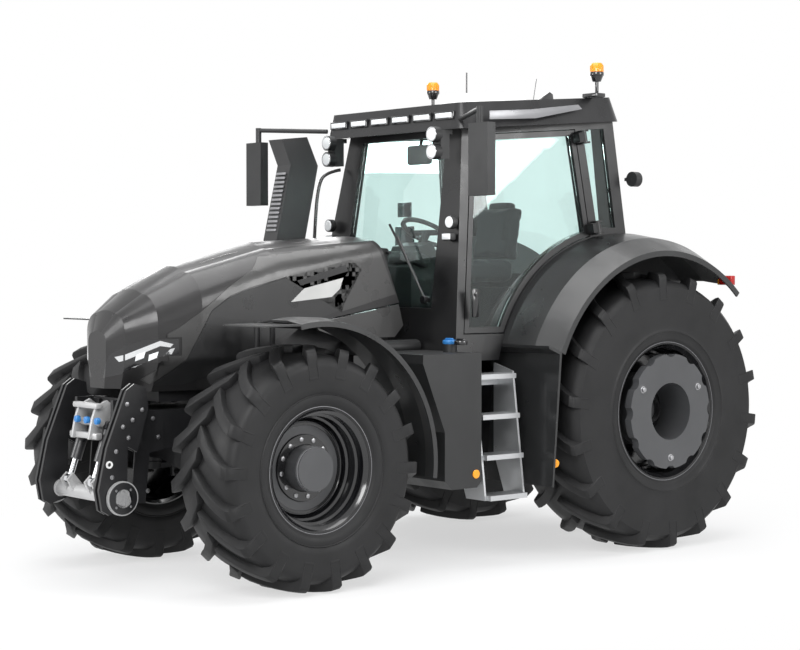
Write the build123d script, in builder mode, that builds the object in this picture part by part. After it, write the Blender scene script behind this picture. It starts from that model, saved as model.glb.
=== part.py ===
"""A large four-wheel-drive farm tractor with a cab, a front linkage and a rear three-point linkage.

Millimetres. +Z is up, the front faces -Y and +X is the tractor's left.
The origin is on the ground, at the middle of the whole outline.
"""
from build123d import *
import math
import os

os.makedirs("parts", exist_ok=True)

# Layout of the axles
wheelbase = 3050
rear_axle_y = 1500
front_axle_y = rear_axle_y - wheelbase
rear_track_x = 1000
front_track_x = 940

# Clearances
seat_gap = 0.3
pin_gap = 0.05
swing_gap = 8

# Rear tyres and rims
rear_tyre_r = 1008
rear_tyre_width = 648
rear_seat_r = 482.6
rear_rim_width = 584
rear_lugs = 18
rear_disc_in = 250
rear_weight_r = 415
rear_weight_hole_r = 206
rear_weight_out = 43
rear_weight_t = 60

# Front tyres and rims
front_tyre_r = 780
front_tyre_width = 598
front_seat_r = 381
front_rim_width = 508
front_lugs = 18
front_disc_in = 216
front_face_r = 295
front_hub_r = 146
front_cap_r = 137
front_cap_in = 58

# Shared by all tyres and rims
tread_height = 52
lug_width = 74
lug_sweep = 15
lug_angle = math.radians(52)
lug_length = 1.16
lug_middle = 0.46
lug_root = 20
flange_rise = 25.4
flange_t = 9
rim_t = 14
disc_t = 22
shoulder_drop = 26
shoulder_in = 20
scallops = 12
scallop_r = 60
scallop_depth = 22

# Front axle and steering
steer_x = 790
kingpin_r = 38
kingpin_eye_r = 72
kingpin_eye_height = 190
knuckle_arm_t = 50
knuckle_web_x = 885
knuckle_web_t = 60
knuckle_flange_r = 150
spindle_r = 60
spindle_reach = 60
axle_beam_height = 150
axle_beam_depth = 190
tie_rod_back = 190
tie_rod_r = 20
tie_rod_z_drop = 20
tie_ball_r = 32
tie_arm_t = 36

# Front fenders
front_fender_r = 952
front_fender_t = 10
front_fender_in_x = 776
front_fender_out_x = 1232
front_fender_lip = 34
front_fender_crown = 22
front_fender_low_deg = -7
front_fender_high_deg = 101
front_fender_tongue = 270
fender_stay_r = 18
fender_post_x = 596
fender_post_y = 60

# Engine, frame and driveline
engine_half = 212
engine_front_y = -1700
engine_rear_y = -520
engine_bottom_z = 880.3
engine_top_z = 1690
sump_half = 150
sump_bottom_z = 700
cooler_half = 235
cooler_bottom_z = 1180
cooler_front_y = -2130
cooler_rear_y = -1800
cooler_top_z = 1800
rail_in_x = 215
rail_t = 47
rail_bottom_z = 880
rail_top_z = 1130
frame_front_y = -2240
saddle_t = 50
saddle_low_z = 690
gearbox_half = 250
gearbox_bottom_z = 640
gearbox_top_z = 1240
bell_rise = 60
bell_length = 260
rear_housing_half = 300
rear_housing_front_y = 1080
rear_housing_rear_y = 1880
trumpet_r = 135
trumpet_end_x = 720
rear_shaft_r = 62
rear_flange_r = 210
rear_flange_t = 40

# Front linkage
plate_x = 384
plate_t = 22
plate_gap = 50
plate_top_y = -2412
plate_top_z = 1317
plate_nose_y = -2673
plate_low_z = 505
rocker_y = -2518
rocker_z = 606
rocker_r = 58
rocker_lug_x = 150
rocker_lug_y = -2562
rocker_lug_z = 684
lug_eye_r = 42
lug_t = 40
cylinder_pin_r = 16
rod_eye_r = 33
rod_eye_play = 7
rocker_mid_r = 48
cylinder_top_y = -2440
cylinder_top_z = 1030
barrel_r = 38
barrel_length = 235
front_rod_r = 20
bracket_bottom_z = 950
bracket_top_z = 1205
bracket_half = 225
bracket_front_y = -2500
bracket_rear_y = -2300
disc_plate_r = 108
disc_plate_t = 24
rear_plate_x = 262.3
rear_plate_t = 14
tube_r = 14
tube_z = 1222

# Rear linkage
lower_link_x = 250
lower_link_y = 1690
lower_link_z = 560
lower_link_length = 930
lower_link_height = 90
lower_link_t = 44
lower_ball_r = 52
lower_ball_bore_r = 18.5
link_plate_t = 18
link_pin_r = 20
link_slot_front_y = 1630
link_slot_top_z = 740
arm_slot_front_y = 1770
arm_slot_low_z = 1200
shaft_block_x = 140
lift_shaft_r = 36
lift_arm_x = 250
lift_arm_y = 1760
lift_arm_z = 1312
lift_arm_length = 480
lift_foot_play = 6
lift_arm_height = 90
lift_arm_t = 48
lift_rod_foot = 560
lift_eye_r = 34
lift_pin_r = 16
rear_lift_low_deg = 12
rear_lift_high_deg = 24
drawbar_z = 430
drawbar_end_y = 2300
drawbar_width = 100
drawbar_t = 50
drawbar_hole_r = 16
pto_z = 720
pto_r = 22
pto_length = 90
top_link_y = 1900
top_link_z = 1050
top_link_r = 32
top_link_length = 620

# Cab
cab_low_z = 1560
cab_high_z = 3040
cab_bottom_z = 1400
cab_over_z = 3160
cab_front_low_y = -102
cab_front_high_y = 118
cab_rear_low_y = 1640
cab_rear_high_y = 1445
cab_front_low_half = 820
cab_front_high_half = 630
cab_rear_low_half = 880
cab_rear_high_half = 820
cab_wall = 60
cab_floor_t = 50
glass_t = 6
roof_line_y = 61
roof_line_z = 3013
roof_line_rise = 0.078
door_sill_z = 1590
door_front_in = 14
door_top_in = 48
door_rear_low_y = 1190
door_rear_high_y = 1085
door_rear_low_z = 2337
door_frame = 40
pillar_c = 75
windscreen_bottom_z = 1760
windscreen_low_half = 520
windscreen_high_half = 478
rear_window_bottom_z = 2000
rear_window_half = 640
quarter_rear_in = 95
quarter_bottom_z = 2340
hinge_pin_r = 9
hinge_block_r = 22
hinge_block_height = 70
hinge_strap_back = 46
hinge_strap_reach = 95
hinge_ear_t = 14
hinge_top_drop = 48
door_hinge_low = (884, 1216, 2337)
door_hinge_high = (834, 1110, 3041)

# Roof
roof_front_y = -30
roof_rear_y = 1500
roof_front_half = 790
roof_rear_half = 885
roof_height = 180
roof_corner_r = 120
roof_taper = 16
roof_edge_r = 36
roof_visor_drop = 30
dome_y = 900
dome_length = 700
dome_width = 430
dome_height = 95
beacon_x = 913
beacon_y = 1170
beacon_post_r = 14
beacon_r = 55
beacon_height = 95
beacon_top_z = 3530

# Rear fenders
rear_fender_in_x = 640
rear_fender_shoulder_x = 880
rear_fender_knee_x = 1130
rear_fender_knee_r = 1252
rear_fender_out_x = 1310
rear_fender_top_r = 1290
rear_fender_out_r = 1160
rear_fender_t = 14
rear_fender_lip = 40
rear_fender_high_deg = 47
rear_fender_low_deg = 157
skirt_bottom_z = 540
skirt_bottom_y = 362

# Hood
hood_half = 400
hood_rear_top_y = -452
hood_rear_top_z = 2268
hood_rear_low_y = -262
hood_rear_low_z = 1800
hood_low_front_z = 1250
hood_nose_y = -2444
hood_nose_z = 1519
hood_chin_y = -2387
hood_chin_z = 1272
hood_wall = 14
hood_skirt_z = 1000
hood_over_z = 2400
hood_sections = (
    (hood_nose_y, 110, 1640, 60, 12),
    (-2380, 235, 1770, 120, 20),
    (-2200, 345, 1905, 200, 30),
    (-1900, 398, 2055, 230, 40),
    (-1300, hood_half, 2216, 200, 45),
    (-200, hood_half, 2280, 80, 25),
)
hood_waist_z = 1440
hood_waist_low_half = 292
hood_shoulder_z = 1960
hood_crown_half = 250
hood_pivot_y = -250
hood_pivot_z = 2150
hood_arm_x = 240
hood_arm_t = 14
hood_pin_r = 12
headlight_t = 34

# Side pieces
tank_in_x = 520
tank_out_x = 1130
tank_front_y = -470
tank_rear_y = -145
tank_bottom_z = 563
tank_top_z = 1470
tank_knee_z = 950
tank_nose_y = -660
tank_edge_r = 45
tank_cap_r = 48
tank_neck_height = 55
step_count = 4
step_top_z = 1300
step_pitch_z = 272
step_depth = 170
step_t = 34
step_out_x = 1060
step_out_shift = 38
step_front_y = -100
step_rear_y = 240
step_plate_t = 16
box_out_x = 1080
exhaust_x = 720
exhaust_width = 165
exhaust_depth = 250
mirror_x = 1285
mirror_y = -285
mirror_z = 2760
mirror_height = 480
mirror_width = 190
mirror_depth = 70
mirror_arm_r = 17
mirror_root_x = 760
mirror_root_y = -10
mirror_arm_low_z = 3070
mirror_arm_high_z = 3095
lamp_r = 55
lamp_depth = 60
rear_lamp_x = 920
rear_lamp_y = 1560
rear_lamp_z = 2697


def wheel_plane(side, track_x, axle_y, radius):
    """The middle plane of a wheel, its normal pointing away from the tractor."""
    return Plane(origin=(side * track_x, axle_y, radius), x_dir=(0, 1, 0), z_dir=(side, 0, 0))


def axle_section(side, track_x, axle_y, radius):
    """The plane through a wheel's axle that holds its turned section: outward, then up."""
    return Plane(origin=(side * track_x, axle_y, radius), x_dir=(side, 0, 0), z_dir=(0, -side, 0))


def build_tyre(side, track_x, axle_y, radius, width, seat_r, rim_width, lugs):
    """A lugged tyre: a faceted carcass with one flat for each lug, and a bar for each lug."""
    plane = wheel_plane(side, track_x, axle_y, radius)
    half = width / 2
    tread_r = radius - tread_height
    shoulder_r = tread_r - shoulder_drop
    bulge_r = (shoulder_r + seat_r + flange_rise) / 2
    wall_slope = math.degrees(math.atan((shoulder_r - bulge_r) / shoulder_in))
    pitch = 360 / lugs
    with BuildPart() as carcass:
        with BuildSketch(plane.offset(shoulder_in - half)):
            RegularPolygon(shoulder_r, 2 * lugs, major_radius=False)
        extrude(amount=width - 2 * shoulder_in)
        for hand in (-1, 1):
            with BuildSketch(plane.offset(hand * (half - shoulder_in))):
                RegularPolygon(shoulder_r, 2 * lugs, major_radius=False)
            extrude(amount=hand * shoulder_in, taper=wall_slope)
        with BuildSketch(plane.offset(-half)):
            Circle(seat_r + seat_gap)
        extrude(amount=width, mode=Mode.SUBTRACT)
        for hand in (-1, 1):
            with BuildSketch(plane.offset(hand * rim_width / 2)):
                Circle(seat_r + flange_rise + seat_gap)
            extrude(amount=hand * (half - rim_width / 2), mode=Mode.SUBTRACT)
    bars = []
    bar_length = half * lug_length
    lug_reach = (bar_length * math.cos(lug_angle) + lug_width * math.sin(lug_angle)) / 2
    bar_top_r = math.sqrt(radius**2 - lug_reach**2)
    bar_height = bar_top_r - tread_r + shoulder_drop + lug_root
    for hand in (-1, 1):
        start = 0 if hand > 0 else pitch / 2
        angle = math.radians(start + lug_sweep / 2)
        middle = plane.offset(hand * half * lug_middle).origin
        outward = Vector(0, math.cos(angle), math.sin(angle))
        run = Vector(side * hand * math.sin(lug_angle), -math.sin(angle) * math.cos(lug_angle),
                     math.cos(angle) * math.cos(lug_angle))
        with BuildPart() as bar:
            with BuildSketch(Plane(origin=middle + outward * bar_top_r, x_dir=run, z_dir=outward)):
                Rectangle(bar_length, lug_width)
            extrude(amount=-bar_height)
        bars += [bar.part.rotate(Axis(plane.origin, (side, 0, 0)), i * pitch) for i in range(lugs)]
    with BuildPart() as tyre:
        add(carcass.part)
        add(bars)
    return tyre


def build_rim(side, track_x, axle_y, radius, seat_r, rim_width, disc_in, bore_r):
    """A steel rim with a flange at each edge, and its centre disc."""
    half = rim_width / 2
    lip = half + flange_t
    face = lip - disc_in
    with BuildPart() as rim:
        with BuildSketch(axle_section(side, track_x, axle_y, radius)):
            with BuildLine():
                Polyline(
                    (lip, seat_r + flange_rise), (half, seat_r), (-half, seat_r), (-lip, seat_r + flange_rise),
                    (-lip, seat_r - rim_t), (face - disc_t, seat_r - rim_t), (face - disc_t, bore_r),
                    (face, bore_r), (face, seat_r - 4 * rim_t), (lip, seat_r - rim_t), close=True,
                )
            make_face()
        revolve(axis=Axis((side * track_x, axle_y, radius), (1, 0, 0)))
    return rim


def cab_corner(z, low, high):
    """A cab size at height z, straight between its low and high values."""
    return low + (high - low) * (z - cab_low_z) / (cab_high_z - cab_low_z)


def cab_outline(z, inset):
    """The four corners of the cab's plan at height z, moved inwards by inset."""
    front_y = cab_corner(z, cab_front_low_y, cab_front_high_y) + inset
    rear_y = cab_corner(z, cab_rear_low_y, cab_rear_high_y) - inset
    front_half = cab_corner(z, cab_front_low_half, cab_front_high_half) - inset
    rear_half = cab_corner(z, cab_rear_low_half, cab_rear_high_half) - inset
    return [(-front_half, front_y), (front_half, front_y), (rear_half, rear_y), (-rear_half, rear_y)]


def cab_form(inset, bottom_z):
    """The cab's leaning block, moved inwards by inset."""
    with BuildPart() as form:
        for z in (bottom_z, cab_over_z):
            with BuildSketch(Plane.XY.offset(z)):
                with BuildLine():
                    Polyline(*cab_outline(z, inset), close=True)
                make_face()
        loft(ruled=True)
    return form.part


def roof_z(y):
    """Height of the roof's underside."""
    return roof_line_z + (y - roof_line_y) * roof_line_rise


roof_plane = Plane(
    origin=(0, roof_line_y, roof_line_z),
    x_dir=(1, 0, 0),
    z_dir=(0, -roof_line_rise, 1),
)
roof_tilt = math.degrees(math.atan(roof_line_rise))


def front_edge_y(z):
    """The cab's front face as seen from the side."""
    return cab_corner(z, cab_front_low_y, cab_front_high_y)


def door_rear_y(z):
    """The door's rear edge as seen from the side."""
    slope = (door_rear_high_y - door_rear_low_y) / (door_hinge_high[2] - door_rear_low_z)
    return door_rear_low_y + slope * (z - door_rear_low_z)


def hinge_plane(point, shift):
    """The plane across the door's hinge line, shifted along it from a point."""
    line = (Vector(*door_hinge_high) - Vector(*door_hinge_low)).normalized()
    return Plane(origin=Vector(*point) + line * shift, x_dir=(1, 0, 0), z_dir=line)


def door_prism(grow, reach_in=380, reach_out=1000, side=1):
    """The door's side outline, grown by grow, as a block across the cab's wall."""
    front_low = front_edge_y(door_sill_z) + cab_wall + door_front_in
    front_high = front_edge_y(cab_high_z) + cab_wall + door_front_in
    edge_r = rear_fender_top_r + 2 * swing_gap
    sill_back = rear_axle_y - math.sqrt(edge_r**2 - (door_sill_z - rear_tyre_r) ** 2)
    rear_foot_z = rear_tyre_r + math.sqrt(edge_r**2 - (rear_axle_y - door_rear_low_y) ** 2)
    arc_mid = math.radians(137)
    arc_mid_y = rear_axle_y + edge_r * math.cos(arc_mid)
    arc_mid_z = rear_tyre_r + edge_r * math.sin(arc_mid)
    top_front = roof_z(front_high) - door_top_in
    top_rear = roof_z(door_rear_high_y) - door_top_in
    with BuildPart() as prism:
        with BuildSketch(Plane.YZ.offset(side * reach_in)):
            with BuildLine():
                Polyline((sill_back, door_sill_z), (front_low, door_sill_z), (front_high, top_front),
                         (door_rear_high_y, top_rear), (door_rear_low_y, rear_foot_z))
                ThreePointArc((door_rear_low_y, rear_foot_z), (arc_mid_y, arc_mid_z),
                              (sill_back, door_sill_z))
            make_face()
            if grow:
                offset(amount=grow, kind=Kind.INTERSECTION)
        extrude(amount=side * (reach_out - reach_in))
    return prism.part


def quarter_prism(grow, side=1):
    """The rear quarter window's outline as a block across the cab's wall."""
    low_y = door_rear_y(quarter_bottom_z) + pillar_c
    high_y = door_rear_high_y + pillar_c
    rear_low = cab_corner(quarter_bottom_z, cab_rear_low_y, cab_rear_high_y) - quarter_rear_in
    rear_high = cab_rear_high_y - quarter_rear_in
    with BuildPart() as prism:
        with BuildSketch(Plane.YZ.offset(side * 380)):
            with BuildLine():
                Polyline((low_y, quarter_bottom_z), (rear_low, quarter_bottom_z),
                         (rear_high, roof_z(rear_high) - door_top_in),
                         (high_y, roof_z(high_y) - door_top_in), close=True)
            make_face()
            if grow:
                offset(amount=grow, kind=Kind.INTERSECTION)
        extrude(amount=side * 620)
    return prism.part


def screen_prism(grow):
    """The windscreen's outline as a block across the cab's front."""
    top_z = roof_z(front_edge_y(cab_high_z)) - door_top_in
    with BuildPart() as prism:
        with BuildSketch(Plane.XZ):
            with BuildLine():
                Polyline((-windscreen_low_half, windscreen_bottom_z),
                         (windscreen_low_half, windscreen_bottom_z),
                         (windscreen_high_half, top_z), (-windscreen_high_half, top_z), close=True)
            make_face()
            if grow:
                offset(amount=grow, kind=Kind.INTERSECTION)
        extrude(amount=400, both=True)
    return prism.part


def rear_window_prism(grow):
    """The rear window's outline as a block across the cab's rear."""
    top_z = roof_z(cab_rear_high_y) - door_top_in
    with BuildPart() as prism:
        with BuildSketch(Plane.XZ.offset(-cab_rear_low_y)):
            with BuildLine():
                Polyline((-rear_window_half, rear_window_bottom_z), (rear_window_half, rear_window_bottom_z),
                         (rear_window_half, top_z), (-rear_window_half, top_z), close=True)
            make_face()
            if grow:
                offset(amount=grow, kind=Kind.INTERSECTION)
        extrude(amount=400, both=True)
    return prism.part


def under_roof(shape):
    """The part of a cab shape below the roof's underside."""
    with BuildPart() as cut:
        add(shape)
        split(bisect_by=roof_plane, keep=Keep.BOTTOM)
    return cut.part


def hood_form(inset):
    """The hood's outer form, moved inwards by inset: sections from the nose to behind the rear edge."""
    with BuildPart() as form:
        for y, section_half, section_top, shoulder_r, crown in hood_sections:
            half = section_half - inset
            top_z = section_top - inset
            low_half = half * hood_waist_low_half / hood_half
            turn = shoulder_r * (1 - math.sqrt(0.5))
            shoulder_z = top_z - crown - shoulder_r
            edge = half - shoulder_r
            with BuildSketch(Plane.XZ.offset(-y - (inset if y == hood_nose_y else 0))):
                with BuildLine():
                    ThreePointArc((-edge, top_z - crown), (0, top_z), (edge, top_z - crown))
                    ThreePointArc((edge, top_z - crown), (half - turn, top_z - crown - turn), (half, shoulder_z))
                    Polyline((half, shoulder_z), (half, hood_waist_z), (low_half, hood_low_front_z - 20),
                             (low_half, hood_skirt_z), (-low_half, hood_skirt_z),
                             (-low_half, hood_low_front_z - 20), (-half, hood_waist_z), (-half, shoulder_z))
                    ThreePointArc((-half, shoulder_z), (-half + turn, top_z - crown - turn),
                                  (-edge, top_z - crown))
                make_face()
        loft(ruled=True)
        with BuildSketch(Plane.YZ.offset(-2 * hood_half)):
            with BuildLine():
                Polyline((hood_rear_top_y, hood_over_z), (hood_rear_top_y, hood_rear_top_z),
                         (hood_rear_low_y, hood_rear_low_z), (hood_rear_low_y, hood_skirt_z - 100),
                         (0, hood_skirt_z - 100), (0, hood_over_z), close=True)
            make_face()
        extrude(amount=4 * hood_half, mode=Mode.SUBTRACT)
    return form.part


def rod_between(start, end, radius, cut=0):
    """A round bar between two points, shortened by cut at its start."""
    line = Vector(*end) - Vector(*start)
    begin = Vector(*start) + line.normalized() * cut
    with BuildPart() as bar:
        with BuildSketch(Plane(origin=begin, z_dir=line.normalized())):
            Circle(radius)
        extrude(amount=line.length - cut)
    return bar.part


# Tyres and rims, the right ones mirrored from the left ones
rear_face_x = rear_track_x + rear_rim_width / 2 + flange_t - rear_disc_in
front_face_x = front_track_x + front_rim_width / 2 + flange_t - front_disc_in
wheels = (
    ("rear", rear_track_x, rear_axle_y, rear_tyre_r, rear_tyre_width, rear_seat_r, rear_rim_width,
     rear_lugs, rear_disc_in, rear_shaft_r + 20),
    ("front", front_track_x, front_axle_y, front_tyre_r, front_tyre_width, front_seat_r, front_rim_width,
     front_lugs, front_disc_in, front_hub_r + seat_gap),
)
for end, track_x, axle_y, radius, width, seat_r, rim_width, lugs, disc_in, bore_r in wheels:
    left_tyre = build_tyre(1, track_x, axle_y, radius, width, seat_r, rim_width, lugs)
    left_rim = build_rim(1, track_x, axle_y, radius, seat_r, rim_width, disc_in, bore_r)
    for name in ("left", "right"):
        with BuildPart() as tyre:
            if name == "left":
                add(left_tyre.part)
            else:
                mirror(left_tyre.part, about=Plane.YZ)
        tyre.part.label = f"tyre_{end}_{name}"
        export_step(tyre.part, f"parts/tyre_{end}_{name}.step")
        with BuildPart() as rim:
            if name == "left":
                add(left_rim.part)
            else:
                mirror(left_rim.part, about=Plane.YZ)
        rim.part.label = f"rim_{end}_{name}"
        export_step(rim.part, f"parts/rim_{end}_{name}.step")

# Rear hubs: the flange on the axle shaft that the disc is bolted to
# Rear weights: a scalloped cast disc that stands out of the rim
for name, side in (("left", 1), ("right", -1)):
    inner_face = Plane(origin=(side * (rear_face_x - disc_t), rear_axle_y, rear_tyre_r),
                       x_dir=(0, 1, 0), z_dir=(side, 0, 0))
    with BuildPart() as rear_hub:
        with BuildSketch(inner_face):
            Circle(rear_flange_r)
        extrude(amount=-rear_flange_t)
        with BuildSketch(inner_face.offset(-rear_flange_t)):
            Circle(rear_shaft_r)
        extrude(amount=-(rear_face_x - disc_t - rear_flange_t - trumpet_end_x + 80))
        with BuildSketch(inner_face):
            Circle(rear_shaft_r + 19.7)
        extrude(amount=disc_t + 60)
    rear_hub.part.label = f"rear_hub_{name}"
    export_step(rear_hub.part, f"parts/rear_hub_{name}.step")
    weight_depth = rear_disc_in + rear_weight_out
    outer_face = inner_face.offset(disc_t + weight_depth)
    with BuildPart() as rear_weight:
        with BuildSketch(outer_face):
            Circle(rear_weight_r)
            with PolarLocations(rear_weight_r + scallop_r - scallop_depth, scallops):
                Circle(scallop_r, mode=Mode.SUBTRACT)
            Circle(rear_weight_hole_r, mode=Mode.SUBTRACT)
        extrude(amount=-rear_weight_t)
        with BuildSketch(outer_face.offset(-rear_weight_t)):
            Circle(rear_weight_hole_r + 60)
            Circle(rear_weight_hole_r, mode=Mode.SUBTRACT)
        extrude(amount=-(weight_depth - rear_weight_t))
    rear_weight.part.label = f"rear_weight_{name}"
    export_step(rear_weight.part, f"parts/rear_weight_{name}.step")

# Front hubs: the drive housing in the rim's middle, its grey face and its cap
cap_x = front_track_x + front_rim_width / 2 + flange_t - front_cap_in
for name, side in (("left", 1), ("right", -1)):
    face = Plane(origin=(side * front_face_x, front_axle_y, front_tyre_r), x_dir=(0, 1, 0), z_dir=(side, 0, 0))
    with BuildPart() as front_hub:
        with BuildSketch(face):
            Circle(front_face_r)
        extrude(amount=24)
        with BuildSketch(face.offset(24)):
            Circle(front_hub_r)
        extrude(amount=cap_x - front_face_x - 24 - 20)
        with BuildSketch(face.offset(cap_x - front_face_x - 20)):
            Circle(front_cap_r)
        extrude(amount=20)
        with BuildSketch(face):
            Circle(front_hub_r)
        extrude(amount=-(front_face_x - knuckle_web_x - knuckle_web_t - seat_gap))
        with BuildSketch(face.offset(-(front_face_x - knuckle_web_x - knuckle_web_t))):
            Circle(spindle_r + pin_gap)
        extrude(amount=spindle_reach + 10, mode=Mode.SUBTRACT)
    front_hub.part.label = f"front_hub_{name}"
    export_step(front_hub.part, f"parts/front_hub_{name}.step")

# Front axle beam, with an eye at each end for the kingpins
with BuildPart() as front_axle:
    with BuildSketch(Plane.XZ.offset(-front_axle_y)):
        with BuildLine():
            Polyline((0, front_tyre_r + axle_beam_height / 2), (steer_x - 200, front_tyre_r + 60),
                     (steer_x, front_tyre_r + 60), (steer_x, front_tyre_r - 60),
                     (steer_x - 220, front_tyre_r - 60), (170, front_tyre_r - 150), (0, front_tyre_r - 150),
                     close=True)
        make_face()
    extrude(amount=axle_beam_depth / 2 - 30, both=True)
    with BuildSketch(Plane.XY.offset(front_tyre_r - kingpin_eye_height / 2)):
        with Locations((steer_x, front_axle_y)):
            Circle(kingpin_eye_r)
    extrude(amount=kingpin_eye_height)
    with Locations((0, front_axle_y, front_tyre_r - 25)):
        Box(340, axle_beam_depth, axle_beam_height + 80)
    with BuildSketch(Plane.XY.offset(front_tyre_r - kingpin_eye_height / 2)):
        with Locations((steer_x, front_axle_y)):
            Circle(kingpin_r + pin_gap)
    extrude(amount=kingpin_eye_height, mode=Mode.SUBTRACT)
    mirror(about=Plane.YZ)
front_axle.part.label = "front_axle"
export_step(front_axle.part, "parts/front_axle.step")

# Steering knuckles: a fork on the kingpins, the spindle for the hub and the arm for the tie rod
arm_low_z = front_tyre_r - kingpin_eye_height / 2 - 5
arm_high_z = front_tyre_r + kingpin_eye_height / 2 + 5
tie_z = arm_low_z - knuckle_arm_t / 2
for name, side in (("left", 1), ("right", -1)):
    with BuildPart() as knuckle:
        for z, lift in ((arm_high_z, knuckle_arm_t), (arm_low_z, -knuckle_arm_t)):
            with BuildSketch(Plane.XY.offset(z)):
                with BuildLine():
                    Polyline((side * steer_x, front_axle_y - 70), (side * knuckle_web_x, front_axle_y - 100),
                             (side * (knuckle_web_x + knuckle_web_t), front_axle_y - 100),
                             (side * (knuckle_web_x + knuckle_web_t), front_axle_y + 100),
                             (side * knuckle_web_x, front_axle_y + 100), (side * steer_x, front_axle_y + 70),
                             close=True)
                make_face()
                with Locations((side * steer_x, front_axle_y)):
                    Circle(kingpin_eye_r - 2)
            extrude(amount=lift)
        with BuildSketch(Plane(origin=(side * knuckle_web_x, front_axle_y, front_tyre_r),
                               x_dir=(0, 1, 0), z_dir=(side, 0, 0))):
            Circle(knuckle_flange_r)
        extrude(amount=knuckle_web_t)
        with BuildSketch(Plane(origin=(side * (knuckle_web_x + knuckle_web_t), front_axle_y, front_tyre_r),
                               x_dir=(0, 1, 0), z_dir=(side, 0, 0))):
            Circle(spindle_r)
        extrude(amount=spindle_reach)
        with BuildSketch(Plane.XY.offset(arm_low_z - knuckle_arm_t)):
            with Locations((side * steer_x, front_axle_y)):
                Circle(kingpin_r)
        extrude(amount=arm_high_z - arm_low_z + 2 * knuckle_arm_t)
        with BuildSketch(Plane.XY.offset(arm_low_z - knuckle_arm_t)):
            with BuildLine():
                Polyline((side * (steer_x - 60), front_axle_y), (side * (steer_x + 60), front_axle_y),
                         (side * (steer_x + 30), front_axle_y + tie_rod_back),
                         (side * (steer_x - 30), front_axle_y + tie_rod_back), close=True)
            make_face()
            with Locations((side * steer_x, front_axle_y + tie_rod_back)):
                Circle(tie_ball_r)
        extrude(amount=tie_arm_t)
        with BuildSketch(Plane.XY.offset(arm_high_z)):
            with Locations((side * (steer_x + fender_post_x) / 2, front_axle_y)):
                Rectangle(steer_x - fender_post_x + 2 * fender_stay_r, 2 * fender_post_y + 2 * fender_stay_r)
        extrude(amount=knuckle_arm_t)
        for y_shift in (-fender_post_y, fender_post_y):
            top_z = front_tyre_r + math.sqrt((front_fender_r - front_fender_t - fender_stay_r - 6) ** 2
                                             - y_shift**2)
            with BuildSketch(Plane.XY.offset(arm_high_z + knuckle_arm_t / 2)):
                with Locations((side * fender_post_x, front_axle_y + y_shift)):
                    Circle(fender_stay_r)
            extrude(amount=top_z - arm_high_z - knuckle_arm_t / 2)
            with BuildSketch(Plane.YZ.offset(side * (fender_post_x - fender_stay_r))):
                with Locations((front_axle_y + y_shift, top_z - fender_stay_r)):
                    Circle(fender_stay_r)
            extrude(amount=side * (front_fender_out_x - fender_post_x - 120))
    knuckle.part.label = f"knuckle_{name}"
    export_step(knuckle.part, f"parts/knuckle_{name}.step")

# Tie rod between the knuckle arms
tie_rod_z = arm_low_z - knuckle_arm_t - seat_gap - tie_ball_r
with BuildPart() as tie_rod:
    with BuildSketch(Plane.YZ.offset(-steer_x)):
        with Locations((front_axle_y + tie_rod_back, tie_rod_z)):
            Circle(tie_rod_r)
    extrude(amount=2 * steer_x)
    with BuildSketch(Plane.XY.offset(tie_rod_z - tie_ball_r)):
        with Locations((-steer_x, front_axle_y + tie_rod_back), (steer_x, front_axle_y + tie_rod_back)):
            Circle(tie_ball_r)
    extrude(amount=2 * tie_ball_r)
tie_rod.part.label = "tie_rod"
export_step(tie_rod.part, "parts/tie_rod.step")

# Front fenders: a crowned strip that follows the tyre, with a turned-down lip and a front tongue
fender_axle = Axis((0, front_axle_y, front_tyre_r), (1, 0, 0))
fender_edge_r = front_fender_r - front_fender_crown
for name, side in (("left", 1), ("right", -1)):
    middle_x = (front_fender_in_x + front_fender_out_x) / 2
    start = math.radians(front_fender_low_deg)
    section = Plane(origin=(0, front_axle_y, front_tyre_r), x_dir=(side, 0, 0),
                    z_dir=(0, -side * math.sin(start), side * math.cos(start)))
    tip = math.radians(front_fender_high_deg)
    tip_y = front_axle_y + (fender_edge_r - front_fender_t / 2) * math.cos(tip)
    tip_z = front_tyre_r + (fender_edge_r - front_fender_t / 2) * math.sin(tip)
    with BuildPart() as front_fender:
        with BuildSketch(section):
            with BuildLine():
                Polyline((front_fender_in_x, fender_edge_r), (middle_x - 90, front_fender_r),
                         (middle_x + 90, front_fender_r), (front_fender_out_x, fender_edge_r),
                         (front_fender_out_x, fender_edge_r - front_fender_lip),
                         (front_fender_out_x - front_fender_t, fender_edge_r - front_fender_lip),
                         (front_fender_out_x - front_fender_t, fender_edge_r - front_fender_t),
                         (middle_x + 90, front_fender_r - front_fender_t),
                         (middle_x - 90, front_fender_r - front_fender_t),
                         (front_fender_in_x, fender_edge_r - front_fender_t), close=True)
            make_face()
        revolve(axis=fender_axle, revolution_arc=front_fender_high_deg - front_fender_low_deg)
        with BuildSketch(Plane.YZ.offset(side * front_fender_in_x)):
            with BuildLine():
                Polyline((tip_y + 60, tip_z - 8), (tip_y + 60, tip_z + 5), (tip_y, tip_z + 6),
                         (tip_y - front_fender_tongue, tip_z + 2), (tip_y - front_fender_tongue, tip_z - 8),
                         (tip_y, tip_z - 5), close=True)
            make_face()
        extrude(amount=side * (front_fender_out_x - front_fender_in_x))
    front_fender.part.label = f"front_fender_{name}"
    export_step(front_fender.part, f"parts/front_fender_{name}.step")

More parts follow.
